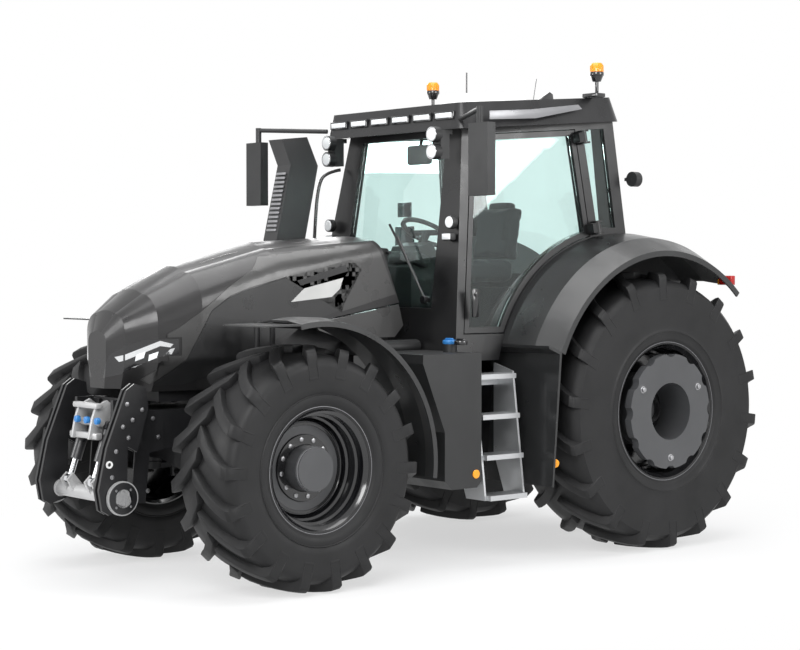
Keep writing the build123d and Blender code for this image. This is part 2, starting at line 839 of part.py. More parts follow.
# Engine and cooler stack, as plain blocks of their real size and place
with BuildPart() as engine_block:
    with Locations((0, (engine_front_y + engine_rear_y) / 2, (engine_bottom_z + engine_top_z) / 2)):
        Box(2 * engine_half, engine_rear_y - engine_front_y, engine_top_z - engine_bottom_z)
    with Locations((0, (engine_front_y + engine_rear_y) / 2 + 200, (sump_bottom_z + engine_bottom_z) / 2)):
        Box(2 * sump_half, engine_rear_y - engine_front_y - 400, engine_bottom_z - sump_bottom_z)
    with Locations((0, (cooler_front_y + cooler_rear_y) / 2, (cooler_bottom_z + cooler_top_z) / 2)):
        Box(2 * cooler_half, cooler_rear_y - cooler_front_y, cooler_top_z - cooler_bottom_z)
engine_block.part.label = "engine_block"
export_step(engine_block.part, "parts/engine_block.step")

# Front frame: two side rails, the nose casting and the saddle over the axle
rail_out_x = rail_in_x + rail_t
with BuildPart() as front_frame:
    for side in (-1, 1):
        with Locations((side * (rail_in_x + rail_t / 2), (frame_front_y + engine_rear_y) / 2,
                        (rail_bottom_z + rail_top_z) / 2)):
            Box(rail_t, engine_rear_y - frame_front_y, rail_top_z - rail_bottom_z)
    with Locations((0, frame_front_y + 60, (rail_bottom_z + rail_top_z) / 2)):
        Box(2 * rail_out_x, 120, rail_top_z - rail_bottom_z)
    with Locations((0, (frame_front_y + engine_front_y) / 2 + 60, rail_top_z - 20)):
        Box(2 * rail_in_x, engine_front_y - frame_front_y - 120 - 2 * seat_gap, 40)
    for hand in (-1, 1):
        with Locations((0, front_axle_y + hand * (axle_beam_depth / 2 + seat_gap + saddle_t / 2),
                        (saddle_low_z + rail_bottom_z) / 2)):
            Box(2 * rail_out_x, saddle_t, rail_bottom_z - saddle_low_z)
front_frame.part.label = "front_frame"
export_step(front_frame.part, "parts/front_frame.step")

# Transmission: the gearbox, the rear housing, the axle trumpets and the cab's mounts
with BuildPart() as transmission:
    with BuildSketch(Plane.YZ.offset(-gearbox_half)):
        with BuildLine():
            Polyline((engine_rear_y, rail_bottom_z), (engine_rear_y, gearbox_top_z + bell_rise),
                     (engine_rear_y + bell_length, gearbox_top_z), (rear_housing_front_y, gearbox_top_z),
                     (rear_housing_front_y, gearbox_bottom_z), (engine_rear_y + 200, gearbox_bottom_z),
                     close=True)
        make_face()
    extrude(amount=2 * gearbox_half)
    with Locations((0, (rear_housing_front_y + rear_housing_rear_y) / 2, (gearbox_bottom_z + gearbox_top_z) / 2)):
        Box(2 * rear_housing_half, rear_housing_rear_y - rear_housing_front_y,
            gearbox_top_z - gearbox_bottom_z)
    with BuildSketch(Plane.YZ.offset(-trumpet_end_x)):
        with Locations((rear_axle_y, rear_tyre_r)):
            Circle(trumpet_r)
    extrude(amount=2 * trumpet_end_x)
    with BuildSketch(Plane.YZ.offset(-trumpet_end_x)):
        with Locations((rear_axle_y, rear_tyre_r)):
            Circle(rear_shaft_r + pin_gap)
    extrude(amount=100, mode=Mode.SUBTRACT)
    with BuildSketch(Plane.YZ.offset(trumpet_end_x)):
        with Locations((rear_axle_y, rear_tyre_r)):
            Circle(rear_shaft_r + pin_gap)
    extrude(amount=-100, mode=Mode.SUBTRACT)
    for y in (100, 1400):
        with Locations((0, y, (gearbox_top_z + cab_bottom_z) / 2 - 20)):
            Box(2 * gearbox_half, 160, cab_bottom_z - gearbox_top_z + 40)
    with Locations((0, rear_housing_rear_y + pto_length / 2, pto_z)):
        Cylinder(pto_r, pto_length, rotation=(90, 0, 0))
    for side in (-1, 1):
        link_slot_width = lower_link_t + 2 * swing_gap
        link_slot_length = rear_housing_rear_y - link_slot_front_y
        with Locations((side * lower_link_x, rear_housing_rear_y - link_slot_length / 2,
                        (gearbox_bottom_z + link_slot_top_z) / 2)):
            Box(link_slot_width, link_slot_length, link_slot_top_z - gearbox_bottom_z, mode=Mode.SUBTRACT)
        arm_slot_width = lift_arm_t + 2 * swing_gap
        arm_slot_length = rear_housing_rear_y - arm_slot_front_y
        with Locations((side * lift_arm_x, rear_housing_rear_y - arm_slot_length / 2,
                        (arm_slot_low_z + gearbox_top_z) / 2)):
            Box(arm_slot_width, arm_slot_length, gearbox_top_z - arm_slot_low_z, mode=Mode.SUBTRACT)
        for gap in (-1, 1):
            plate_middle = lower_link_x + gap * (lower_link_t / 2 + swing_gap + link_plate_t / 2)
            with BuildSketch(Plane.YZ.offset(side * plate_middle - link_plate_t / 2)):
                with BuildLine():
                    Polyline((lower_link_y - 90, gearbox_bottom_z + 20), (lower_link_y - 45, lower_link_z - 40),
                             (lower_link_y + 45, lower_link_z - 40), (lower_link_y + 90, gearbox_bottom_z + 20),
                             close=True)
                make_face()
            extrude(amount=link_plate_t)
        with BuildSketch(Plane.YZ.offset(side * (lower_link_x - lower_link_t / 2 - swing_gap - link_plate_t))):
            with Locations((lower_link_y, lower_link_z)):
                Circle(link_pin_r)
        extrude(amount=side * (lower_link_t + 2 * swing_gap + 2 * link_plate_t))
        with BuildSketch(Plane.YZ.offset(side * shaft_block_x)):
            with BuildLine():
                Polyline((lift_arm_y - 90, gearbox_top_z - 5), (lift_arm_y - 60, lift_arm_z + 20),
                         (lift_arm_y - 20, lift_arm_z + 58), (lift_arm_y + 20, lift_arm_z + 58),
                         (lift_arm_y + 60, lift_arm_z + 20), (lift_arm_y + 90, gearbox_top_z - 5), close=True)
            make_face()
            with Locations((lift_arm_y, lift_arm_z)):
                Circle(lift_shaft_r + pin_gap, mode=Mode.SUBTRACT)
        extrude(amount=side * 50)
transmission.part.label = "transmission"
export_step(transmission.part, "parts/transmission.step")

# Cab frame: the floor, pillars and rails as one hollow shell with its openings cut
wheelhouse_r = rear_fender_top_r + seat_gap
with BuildPart() as cab_frame:
    add(under_roof(cab_form(0, cab_bottom_z)))
    add(cab_form(cab_wall, cab_bottom_z + cab_floor_t), mode=Mode.SUBTRACT)
    for side in (-1, 1):
        with BuildSketch(Plane.YZ.offset(side * (rear_fender_in_x - seat_gap))):
            with Locations((rear_axle_y, rear_tyre_r)):
                Circle(wheelhouse_r)
        extrude(amount=side * 500, mode=Mode.SUBTRACT)
        add(door_prism(swing_gap, side=side), mode=Mode.SUBTRACT)
        add(quarter_prism(seat_gap, side=side), mode=Mode.SUBTRACT)
    add(screen_prism(seat_gap), mode=Mode.SUBTRACT)
    add(rear_window_prism(seat_gap), mode=Mode.SUBTRACT)
    for point, drop in ((door_hinge_low, 0), (door_hinge_high, hinge_top_drop)):
        with BuildSketch(hinge_plane(point, -hinge_block_height / 2 - hinge_ear_t - drop)):
            Circle(hinge_pin_r)
        extrude(amount=hinge_block_height + 2 * hinge_ear_t)
        for shift in (-hinge_block_height / 2 - hinge_ear_t - 1, hinge_block_height / 2 + 1):
            with BuildSketch(hinge_plane(point, shift - drop)):
                Circle(hinge_block_r)
                with Locations((-hinge_strap_reach / 2 + hinge_block_r / 2, hinge_block_r)):
                    Rectangle(hinge_strap_reach, 2 * hinge_block_r)
            extrude(amount=hinge_ear_t)
cab_frame.part.label = "cab_frame"
export_step(cab_frame.part, "parts/cab_frame.step")

# Cab glass: windscreen, right side, quarter windows and rear window
pane_in = cab_wall / 2 - glass_t / 2
outer_pane = cab_form(pane_in, cab_bottom_z)
inner_pane = cab_form(pane_in + glass_t, cab_bottom_z)
with BuildPart() as cab_glass:
    for prism in (screen_prism(0), rear_window_prism(0), quarter_prism(0, side=1),
                  quarter_prism(0, side=-1), door_prism(swing_gap - seat_gap, side=-1)):
        with BuildPart(mode=Mode.PRIVATE) as pane:
            add(outer_pane)
            add(inner_pane, mode=Mode.SUBTRACT)
            add(prism, mode=Mode.INTERSECT)
        add(pane.part)
cab_glass.part.label = "cab_glass"
export_step(cab_glass.part, "parts/cab_glass.step")

# Left door: a frame as thick as the wall, its pane, its hinge straps and its handle
with BuildPart() as door_left:
    add(cab_form(0, cab_bottom_z))
    add(cab_form(cab_wall, cab_bottom_z), mode=Mode.SUBTRACT)
    add(door_prism(0), mode=Mode.INTERSECT)
    add(door_prism(-door_frame), mode=Mode.SUBTRACT)
    for point, drop in ((door_hinge_low, 0), (door_hinge_high, hinge_top_drop)):
        with BuildSketch(hinge_plane(point, -hinge_block_height / 2 - drop)):
            Circle(hinge_block_r)
            with Locations((0, -hinge_strap_back / 2)):
                Rectangle(hinge_block_r, hinge_strap_back)
            with Locations((-hinge_strap_reach / 2 + hinge_block_r / 2, -hinge_strap_back)):
                Rectangle(hinge_strap_reach, hinge_block_r)
            Circle(hinge_pin_r + pin_gap, mode=Mode.SUBTRACT)
        extrude(amount=hinge_block_height)
door_left.part.label = "door_left"
export_step(door_left.part, "parts/door_left.step")
with BuildPart() as door_glass:
    add(outer_pane)
    add(inner_pane, mode=Mode.SUBTRACT)
    add(door_prism(-door_frame - seat_gap), mode=Mode.INTERSECT)
door_glass.part.label = "door_glass"
export_step(door_glass.part, "parts/door_glass.step")

# Roof: a slab with raked sides on the cab's rails
with BuildPart() as cab_roof:
    with BuildSketch(roof_plane) as roof_outline:
        with BuildLine():
            Polyline((-roof_front_half, roof_front_y - roof_line_y), (roof_front_half, roof_front_y - roof_line_y),
                     (roof_rear_half, roof_rear_y - roof_line_y), (-roof_rear_half, roof_rear_y - roof_line_y),
                     close=True)
        make_face()
        fillet(roof_outline.vertices(), roof_corner_r)
    extrude(amount=roof_height, taper=roof_taper)
cab_roof.part.label = "cab_roof"
export_step(cab_roof.part, "parts/cab_roof.step")

# Rear fenders: a broad shell turned about the axle, its inner wall and the skirt before the tyre
fender_turn = Axis((0, rear_axle_y, rear_tyre_r), (1, 0, 0))
for name, side in (("left", 1), ("right", -1)):
    start = math.radians(rear_fender_high_deg)
    section = Plane(origin=(0, rear_axle_y, rear_tyre_r), x_dir=(side, 0, 0),
                    z_dir=(0, -side * math.sin(start), side * math.cos(start)))
    inner_out_x = rear_fender_out_x - rear_fender_t
    with BuildPart() as rear_fender:
        with BuildSketch(section):
            with BuildLine():
                Polyline((rear_fender_in_x, rear_fender_top_r), (rear_fender_shoulder_x, rear_fender_top_r),
                         (rear_fender_knee_x, rear_fender_knee_r), (rear_fender_out_x, rear_fender_out_r),
                         (rear_fender_out_x, rear_fender_out_r - rear_fender_lip),
                         (inner_out_x, rear_fender_out_r - rear_fender_lip),
                         (inner_out_x, rear_fender_out_r - rear_fender_t),
                         (rear_fender_knee_x, rear_fender_knee_r - rear_fender_t),
                         (rear_fender_shoulder_x, rear_fender_top_r - rear_fender_t),
                         (rear_fender_in_x, rear_fender_top_r - rear_fender_t), close=True)
            make_face()
        revolve(axis=fender_turn, revolution_arc=rear_fender_low_deg - rear_fender_high_deg)
        with BuildSketch(Plane.YZ.offset(side * rear_fender_in_x)):
            with Locations((rear_axle_y, rear_tyre_r)):
                Circle(rear_fender_top_r - rear_fender_t / 2)
            with Locations((rear_axle_y, cab_bottom_z - 1500)):
                Rectangle(4000, 3000, mode=Mode.SUBTRACT)
        extrude(amount=side * rear_fender_t)
        low = math.radians(rear_fender_low_deg)
        skirt_y = rear_axle_y + rear_fender_out_r * math.cos(low)
        skirt_z = rear_tyre_r + rear_fender_out_r * math.sin(low)
        with BuildSketch(Plane.YZ.offset(side * rear_fender_in_x)):
            with BuildLine():
                Polyline((skirt_y + 4, skirt_z + 4), (skirt_y - 120, skirt_z + 48),
                         (skirt_y - 118, skirt_z + 30), (skirt_y - 16, skirt_z - 12),
                         (skirt_bottom_y - 16, skirt_bottom_z), (skirt_bottom_y, skirt_bottom_z), close=True)
            make_face()
        extrude(amount=side * (rear_fender_out_x - rear_fender_in_x))
    rear_fender.part.label = f"rear_fender_{name}"
    export_step(rear_fender.part, f"parts/rear_fender_{name}.step")

# Hood: a carved shell, open below and behind, with pockets for the headlights and arms to its pivot
outer_hood = hood_form(0)
inner_hood = hood_form(hood_wall)
pocket_hood = hood_form(headlight_t)


def headlight_prism(grow, side):
    """The headlight's outline from the front, as a block across the hood's nose."""
    with BuildPart() as prism:
        with BuildSketch(Plane.XZ.offset(2060)):
            with BuildLine():
                Polyline((side * 70, 1335), (side * 200, 1365), (side * 380, 1500), (side * 400, 1590),
                         (side * 300, 1585), (side * 130, 1490), close=True)
            make_face()
            if grow:
                offset(amount=grow, kind=Kind.INTERSECTION)
        extrude(amount=500)
    return prism.part


with BuildPart() as hood:
    add(outer_hood)
    add(inner_hood, mode=Mode.SUBTRACT)
    with BuildSketch(Plane.YZ.offset(-2 * hood_half)):
        with BuildLine():
            Polyline((-2600, hood_chin_z), (hood_chin_y, hood_chin_z), (-2200, hood_low_front_z),
                     (-1700, hood_low_front_z), (-1100, 1660), (-800, 1712), (hood_rear_low_y, hood_rear_low_z),
                     (0, hood_rear_low_z), (0, 500), (-2600, 500), close=True)
        make_face()
    extrude(amount=4 * hood_half, mode=Mode.SUBTRACT)
    for side in (-1, 1):
        add(headlight_prism(0, side), mode=Mode.SUBTRACT)
    for side in (-1, 1):
        with BuildSketch(Plane.YZ.offset(side * hood_arm_x)):
            with BuildLine():
                Polyline((hood_rear_top_y - 180, hood_pivot_z + 60), (hood_rear_top_y + 60, hood_pivot_z + 40),
                         (hood_pivot_y, hood_pivot_z + 30), (hood_pivot_y + 26, hood_pivot_z),
                         (hood_pivot_y, hood_pivot_z - 30), (hood_rear_top_y - 180, hood_pivot_z - 40),
                         close=True)
            make_face()
            with Locations((hood_pivot_y, hood_pivot_z)):
                Circle(hood_pin_r + pin_gap, mode=Mode.SUBTRACT)
        extrude(amount=side * hood_arm_t)
        with Locations((side * (hood_arm_x + 62), hood_rear_top_y - 130, hood_pivot_z + 5)):
            Box(120, 70, 60)
hood.part.label = "hood"
export_step(hood.part, "parts/hood.step")

with BuildPart() as headlights:
    for side in (-1, 1):
        with BuildPart(mode=Mode.PRIVATE) as lamp:
            add(outer_hood)
            add(pocket_hood, mode=Mode.SUBTRACT)
            add(headlight_prism(-seat_gap, side), mode=Mode.INTERSECT)
        add(lamp.part)
headlights.part.label = "headlights"
export_step(headlights.part, "parts/headlights.step")

# Hood hinge: a cross pin on two brackets that stand on the engine's rear
with BuildPart() as hood_hinge:
    with BuildSketch(Plane.YZ.offset(-hood_arm_x - hood_arm_t - 30)):
        with Locations((hood_pivot_y, hood_pivot_z)):
            Circle(hood_pin_r)
    extrude(amount=2 * (hood_arm_x + hood_arm_t + 30))
    for side in (-1, 1):
        with BuildSketch(Plane.YZ.offset(side * (hood_arm_x - 12))):
            with BuildLine():
                Polyline((hood_pivot_y - 24, hood_pivot_z), (hood_pivot_y, hood_pivot_z + 24),
                         (hood_pivot_y + 24, hood_pivot_z), (hood_pivot_y + 30, gearbox_top_z + bell_rise),
                         (hood_pivot_y - 150, gearbox_top_z + bell_rise), close=True)
            make_face()
        extrude(amount=-side * 20)
hood_hinge.part.label = "hood_hinge"
export_step(hood_hinge.part, "parts/hood_hinge.step")

# Fixed lower panels beside the engine, under the hood's edge
with BuildPart() as side_panels:
    with BuildSketch(Plane.YZ.offset(hood_half - 24)):
        with BuildLine():
            Polyline((-1000, 1668), (-800, 1700), (hood_rear_low_y, hood_rear_low_z - 12),
                     (hood_rear_low_y + 40, 1640), (-300, 1560), (-760, 1560), (-960, 1620), close=True)
        make_face()
    extrude(amount=20)
    with Locations(((engine_half + hood_half - 24) / 2, -640, 1600)):
        Box(hood_half - 24 - engine_half, 60, 40)
    mirror(about=Plane.YZ)
side_panels.part.label = "side_panels"
export_step(side_panels.part, "parts/side_panels.step")

# Front linkage frame: twin side plates, the coupler bracket between them and the rear plates
with BuildPart() as linkage_frame:
    for start_x in (plate_x - plate_t - plate_gap / 2, plate_x + plate_gap / 2 - plate_t):
        with BuildSketch(Plane.YZ.offset(start_x)):
            with BuildLine():
                Polyline((plate_top_y, plate_top_z), (-2472, 1276), (-2615, 923), (plate_nose_y, 663),
                         (-2650, 533), (-2602, plate_low_z), (-2470, 540), (-2470, 714), (-2465, 924),
                         (-2396, 887), (-2315, 1156), (-2330, 1290), close=True)
            make_face()
            with Locations((rocker_y, rocker_z)):
                Circle(rocker_r + pin_gap, mode=Mode.SUBTRACT)
        extrude(amount=plate_t)
    with Locations((plate_x - 11, -2380, 1200)):
        Box(plate_gap, 60, 150)
    with BuildSketch(Plane.YZ.offset(rear_plate_x)):
        with BuildLine():
            Polyline((-2268, 1149), (-2240, rail_top_z), (-2120, rail_top_z), (-2120, rail_bottom_z),
                     (-2225, 860), (-2257, 540), (-2361, 547), (-2330, 900), close=True)
        make_face()
    extrude(amount=rear_plate_t)
    brace_x = plate_x - plate_t - plate_gap / 2
    with Locations(((rear_plate_x + brace_x) / 2, -2345, 1000)):
        Box(brace_x - rear_plate_x, 60, 160)
    with Locations(((bracket_half + 80) / 2, (bracket_front_y + bracket_rear_y) / 2, bracket_bottom_z + 20)):
        Box(bracket_half + 80, bracket_rear_y - bracket_front_y - 60, 40)
    with Locations((rocker_lug_x, bracket_front_y + 90, bracket_bottom_z + 20)):
        Box(2 * lug_t + 20, 200, 60, mode=Mode.SUBTRACT)
    with Locations((bracket_half, (bracket_front_y + bracket_rear_y) / 2, (bracket_bottom_z + bracket_top_z) / 2)):
        Box(30, bracket_rear_y - bracket_front_y - 60, bracket_top_z - bracket_bottom_z)
    with Locations((bracket_half / 2, bracket_rear_y - 10, (bracket_bottom_z + bracket_top_z) / 2)):
        Box(bracket_half, 60, bracket_top_z - bracket_bottom_z)
    with Locations((bracket_half / 2, (bracket_rear_y + frame_front_y - seat_gap) / 2, 1040)):
        Box(bracket_half, frame_front_y - seat_gap - bracket_rear_y, 120)
    with Locations((plate_x / 2 + 60, bracket_rear_y - 30, bracket_top_z - 40)):
        Box(plate_x - 120, 60, 60)
    mirror(about=Plane.YZ)
linkage_frame.part.label = "linkage_frame"
export_step(linkage_frame.part, "parts/linkage_frame.step")

# Front linkage rocker: the cross shaft, its two cylinder lugs and the stubs of the lift arms
with BuildPart() as front_rocker:
    with BuildSketch(Plane.YZ.offset(-plate_x)):
        with Locations((rocker_y, rocker_z)):
            Circle(rocker_mid_r)
    extrude(amount=2 * plate_x)
    for side in (-1, 1):
        with BuildSketch(Plane.YZ.offset(side * (plate_x - plate_gap))):
            with Locations((rocker_y, rocker_z)):
                Circle(rocker_r)
        extrude(amount=side * (plate_gap + 60))
        with BuildSketch(Plane.YZ.offset(side * (plate_x + plate_gap / 2 + 6))):
            with Locations((rocker_y, rocker_z)):
                Circle(disc_plate_r)
        extrude(amount=side * disc_plate_t)
        for shift in (-lug_t, lug_t):
            with BuildSketch(Plane.YZ.offset(side * rocker_lug_x + shift - lug_t / 4)):
                with BuildLine():
                    Polyline((rocker_y - rocker_mid_r, rocker_z), (rocker_lug_y - lug_eye_r, rocker_lug_z),
                             (rocker_lug_y, rocker_lug_z + lug_eye_r), (rocker_y + 20, rocker_z + rocker_mid_r - 4),
                             (rocker_y, rocker_z), close=True)
                make_face()
            extrude(amount=lug_t / 2)
        with BuildSketch(Plane.YZ.offset(side * rocker_lug_x - lug_t - 14)):
            with Locations((rocker_lug_y, rocker_lug_z)):
                Circle(cylinder_pin_r)
        extrude(amount=2 * lug_t + 28)
front_rocker.part.label = "front_rocker"
export_step(front_rocker.part, "parts/front_rocker.step")

# Front lift cylinders: barrels on pins in the frame, and rods with an eye at the rocker's lugs
front_top = (cylinder_top_y, cylinder_top_z)
front_line = Vector(0, rocker_lug_y - cylinder_top_y, rocker_lug_z - cylinder_top_z)
front_dir = front_line.normalized()
with BuildPart() as front_barrels:
    for side in (-1, 1):
        head = Vector(side * rocker_lug_x, cylinder_top_y, cylinder_top_z)
        with BuildSketch(Plane.YZ.offset(side * rocker_lug_x - lug_t / 2 + 1)):
            with Locations(front_top):
                Circle(barrel_r)
        extrude(amount=lug_t - 2)
        with BuildSketch(Plane(origin=head + front_dir * (barrel_r - 12), z_dir=front_dir)):
            Circle(barrel_r)
        extrude(amount=barrel_length - barrel_r + 12)
        with BuildSketch(Plane(origin=head + front_dir * 70, z_dir=front_dir)):
            Circle(front_rod_r + pin_gap)
        extrude(amount=barrel_length, mode=Mode.SUBTRACT)
        with BuildSketch(Plane.YZ.offset(side * rocker_lug_x - lug_t)):
            with Locations(front_top):
                Circle(cylinder_pin_r + pin_gap)
        extrude(amount=2 * lug_t, mode=Mode.SUBTRACT)
front_barrels.part.label = "front_barrels"
export_step(front_barrels.part, "parts/front_barrels.step")

with BuildPart() as front_rods:
    for side in (-1, 1):
        head = Vector(side * rocker_lug_x, cylinder_top_y, cylinder_top_z)
        with BuildSketch(Plane.YZ.offset(side * rocker_lug_x - lug_t / 2 + 3)):
            with Locations((rocker_lug_y, rocker_lug_z)):
                Circle(rod_eye_r)
        extrude(amount=lug_t - 6)
        with BuildSketch(Plane(origin=head + front_dir * 130, z_dir=front_dir)):
            Circle(front_rod_r)
        extrude(amount=front_line.length - 150)
        with BuildSketch(Plane.YZ.offset(side * rocker_lug_x - lug_t)):
            with Locations((rocker_lug_y, rocker_lug_z)):
                Circle(cylinder_pin_r + rod_eye_play)
        extrude(amount=2 * lug_t, mode=Mode.SUBTRACT)
front_rods.part.label = "front_rods"
export_step(front_rods.part, "parts/front_rods.step")

# Cylinder pins of the front linkage, in the cast bracket
with BuildPart() as cylinder_pins:
    for side in (-1, 1):
        with BuildSketch(Plane.YZ.offset(side * rocker_lug_x - lug_t - 20)):
            with Locations(front_top):
                Circle(cylinder_pin_r)
        extrude(amount=2 * lug_t + 40)
        for shift in (-lug_t - 10, lug_t + 10):
            with BuildSketch(Plane.YZ.offset(side * rocker_lug_x + shift - 10)):
                with BuildLine():
                    Polyline((cylinder_top_y - 30, cylinder_top_z - 30), (cylinder_top_y - 30, cylinder_top_z + 30),
                             (bracket_rear_y - 40 - seat_gap, cylinder_top_z + 30),
                             (bracket_rear_y - 40 - seat_gap, cylinder_top_z - 30), close=True)
                make_face()
            extrude(amount=20)
cylinder_pins.part.label = "cylinder_pins"
export_step(cylinder_pins.part, "parts/cylinder_pins.step")

# Lower links of the rear linkage, each with a ball at its end
with BuildPart() as lower_links:
    for side in (-1, 1):
        with BuildSketch(Plane.YZ.offset(side * lower_link_x - lower_link_t / 2)):
            with BuildLine():
                Polyline((lower_link_y, lower_link_z - 38), (lower_link_y + 240, lower_link_z - 50),
                         (lower_link_y + lower_link_length, lower_link_z - 40),
                         (lower_link_y + lower_link_length, lower_link_z + 40),
                         (lower_link_y + lift_rod_foot, lower_link_z + 55),
                         (lower_link_y, lower_link_z + 38), close=True)
            make_face()
            with Locations((lower_link_y, lower_link_z)):
                Circle(38)
            with Locations((lower_link_y + lower_link_length, lower_link_z)):
                Circle(lower_ball_r)
                Circle(lower_ball_bore_r, mode=Mode.SUBTRACT)
            with Locations((lower_link_y, lower_link_z)):
                Circle(link_pin_r + pin_gap, mode=Mode.SUBTRACT)
        extrude(amount=lower_link_t)
        with BuildSketch(Plane.YZ.offset(side * (lower_link_x + lower_link_t / 2 - 1))):
            with Locations((lower_link_y + lift_rod_foot, lower_link_z)):
                Circle(lift_pin_r)
        extrude(amount=side * (lift_arm_t / 2 - lower_link_t / 2 + swing_gap + 46))
lower_links.part.label = "lower_links"
export_step(lower_links.part, "parts/lower_links.step")

# Lift arms on their cross shaft, and the lift rods that hang from them
with BuildPart() as lift_arms:
    with BuildSketch(Plane.YZ.offset(-lift_arm_x - lift_arm_t / 2)):
        with Locations((lift_arm_y, lift_arm_z)):
            Circle(lift_shaft_r)
    extrude(amount=2 * lift_arm_x + lift_arm_t)
    for side in (-1, 1):
        with BuildSketch(Plane.YZ.offset(side * lift_arm_x - lift_arm_t / 2)):
            with BuildLine():
                Polyline((lift_arm_y, lift_arm_z - 62), (lift_arm_y + lift_arm_length, lift_arm_z - 34),
                         (lift_arm_y + lift_arm_length, lift_arm_z + 34), (lift_arm_y, lift_arm_z + 62),
                         close=True)
            make_face()
            with Locations((lift_arm_y, lift_arm_z)):
                Circle(62)
            with Locations((lift_arm_y + lift_arm_length, lift_arm_z)):
                Circle(34)
                Circle(lift_pin_r + pin_gap, mode=Mode.SUBTRACT)
        extrude(amount=lift_arm_t)
lift_arms.part.label = "lift_arms"
export_step(lift_arms.part, "parts/lift_arms.step")

foot_y = lower_link_y + lift_rod_foot
foot_z = lower_link_z
arm_end_y = lift_arm_y + lift_arm_length
rod_x = lift_arm_x + lift_arm_t / 2 + swing_gap
with BuildPart() as lift_rods:
    for side in (-1, 1):
        with BuildSketch(Plane.YZ.offset(side * rod_x)):
            for eye in ((arm_end_y, lift_arm_z), (foot_y, foot_z)):
                with Locations(eye):
                    Circle(lift_eye_r)
            with BuildLine():
                Polyline((arm_end_y - 20, lift_arm_z), (arm_end_y + 20, lift_arm_z), (foot_y + 20, foot_z),
                         (foot_y - 20, foot_z), close=True)
            make_face()
            with Locations((foot_y, foot_z)):
                Circle(lift_pin_r + lift_foot_play, mode=Mode.SUBTRACT)
        extrude(amount=side * 36)
        with BuildSketch(Plane.YZ.offset(side * (lift_arm_x - lift_arm_t / 2))):
            with Locations((arm_end_y, lift_arm_z)):
                Circle(lift_pin_r)
        extrude(amount=side * (lift_arm_t + swing_gap + 1))
lift_rods.part.label = "lift_rods"
export_step(lift_rods.part, "parts/lift_rods.step")

# Hitch: the drawbar with its pin hole, and the top link folded up against the housing
with BuildPart() as drawbar:
    with BuildSketch(Plane.XY.offset(drawbar_z)):
        with Locations((0, (rear_housing_front_y + 200 + drawbar_end_y) / 2)):
            Rectangle(drawbar_width, drawbar_end_y - rear_housing_front_y - 200)
        with Locations((0, drawbar_end_y - 50)):
            Circle(drawbar_hole_r, mode=Mode.SUBTRACT)
    extrude(amount=drawbar_t)
    with BuildSketch(Plane.XY.offset(drawbar_z + drawbar_t)):
        with Locations((0, rear_housing_rear_y - 60), (0, rear_housing_front_y + 260)):
            Rectangle(160, 120)
    extrude(amount=gearbox_bottom_z - drawbar_z - drawbar_t - seat_gap)
drawbar.part.label = "drawbar"
export_step(drawbar.part, "parts/drawbar.step")

# Fuel tank on the left and the after-treatment box on the right, under the cab's front corners
side_profile = [
    (tank_rear_y, tank_bottom_z + 40), (tank_rear_y - 40, tank_bottom_z), (tank_front_y + 60, tank_bottom_z),
    (tank_front_y, tank_bottom_z + 60), (tank_front_y, tank_knee_z), (tank_nose_y, tank_top_z - 60),
    (tank_nose_y, tank_top_z), (tank_rear_y, tank_top_z),
]
with BuildPart() as fuel_tank:
    with BuildSketch(Plane.YZ.offset(tank_in_x)):
        with BuildLine():
            Polyline(*side_profile, close=True)
        make_face()
    extrude(amount=tank_out_x - tank_in_x)
    with Locations((900, -227, tank_top_z + tank_neck_height / 2)):
        Cylinder(tank_cap_r, tank_neck_height)
    with Locations(((tank_in_x + gearbox_half) / 2 + 5, -240, 900)):
        Box(tank_in_x - gearbox_half + 10 - 2 * seat_gap, 120, 60)
fuel_tank.part.label = "fuel_tank"
export_step(fuel_tank.part, "parts/fuel_tank.step")
with BuildPart() as side_box:
    with BuildSketch(Plane.YZ.offset(-tank_in_x)):
        with BuildLine():
            Polyline(*side_profile, close=True)
        make_face()
    extrude(amount=-(box_out_x - tank_in_x))
    with Locations((-(tank_in_x + gearbox_half) / 2 - 5, -240, 900)):
        Box(tank_in_x - gearbox_half + 10 - 2 * seat_gap, 120, 60)
side_box.part.label = "side_box"
export_step(side_box.part, "parts/side_box.step")

# Cab steps on the left, each one further out than the one above, on one bracket
with BuildPart() as cab_steps:
    for i in range(step_count):
        out_x = step_out_x + i * step_out_shift
        with Locations((out_x - step_depth / 2, (step_front_y + step_rear_y) / 2, step_top_z - i * step_pitch_z)):
            Box(step_depth, step_rear_y - step_front_y, step_t)
    with BuildSketch(Plane.XZ.offset(-step_rear_y)):
        with BuildLine():
            Polyline((step_out_x - step_depth - 60, cab_bottom_z - 20), (step_out_x - 40, step_top_z + 30),
                     (step_out_x - 40 + 3 * step_out_shift, step_top_z - 3 * step_pitch_z - step_t / 2),
                     (step_out_x - step_depth - 60 + 3 * step_out_shift, step_top_z - 3 * step_pitch_z - step_t / 2),
                     (step_out_x - step_depth - 60, step_top_z - 2 * step_pitch_z), close=True)
        make_face()
    extrude(amount=-step_plate_t)
    with BuildSketch(Plane.XZ.offset(-step_front_y)):
        with BuildLine():
            Polyline((step_out_x - step_depth - 60, cab_bottom_z - 20), (step_out_x - 40, step_top_z + 30),
                     (step_out_x - 40 + 3 * step_out_shift, step_top_z - 3 * step_pitch_z - step_t / 2),
                     (step_out_x - step_depth - 60 + 3 * step_out_shift, step_top_z - 3 * step_pitch_z - step_t / 2),
                     (step_out_x - step_depth - 60, step_top_z - 2 * step_pitch_z), close=True)
        make_face()
    extrude(amount=step_plate_t)
    with Locations((560, (step_front_y + step_rear_y) / 2, step_top_z - 40)):
        Box(610, step_rear_y - step_front_y, 60)
cab_steps.part.label = "cab_steps"
export_step(cab_steps.part, "parts/cab_steps.step")

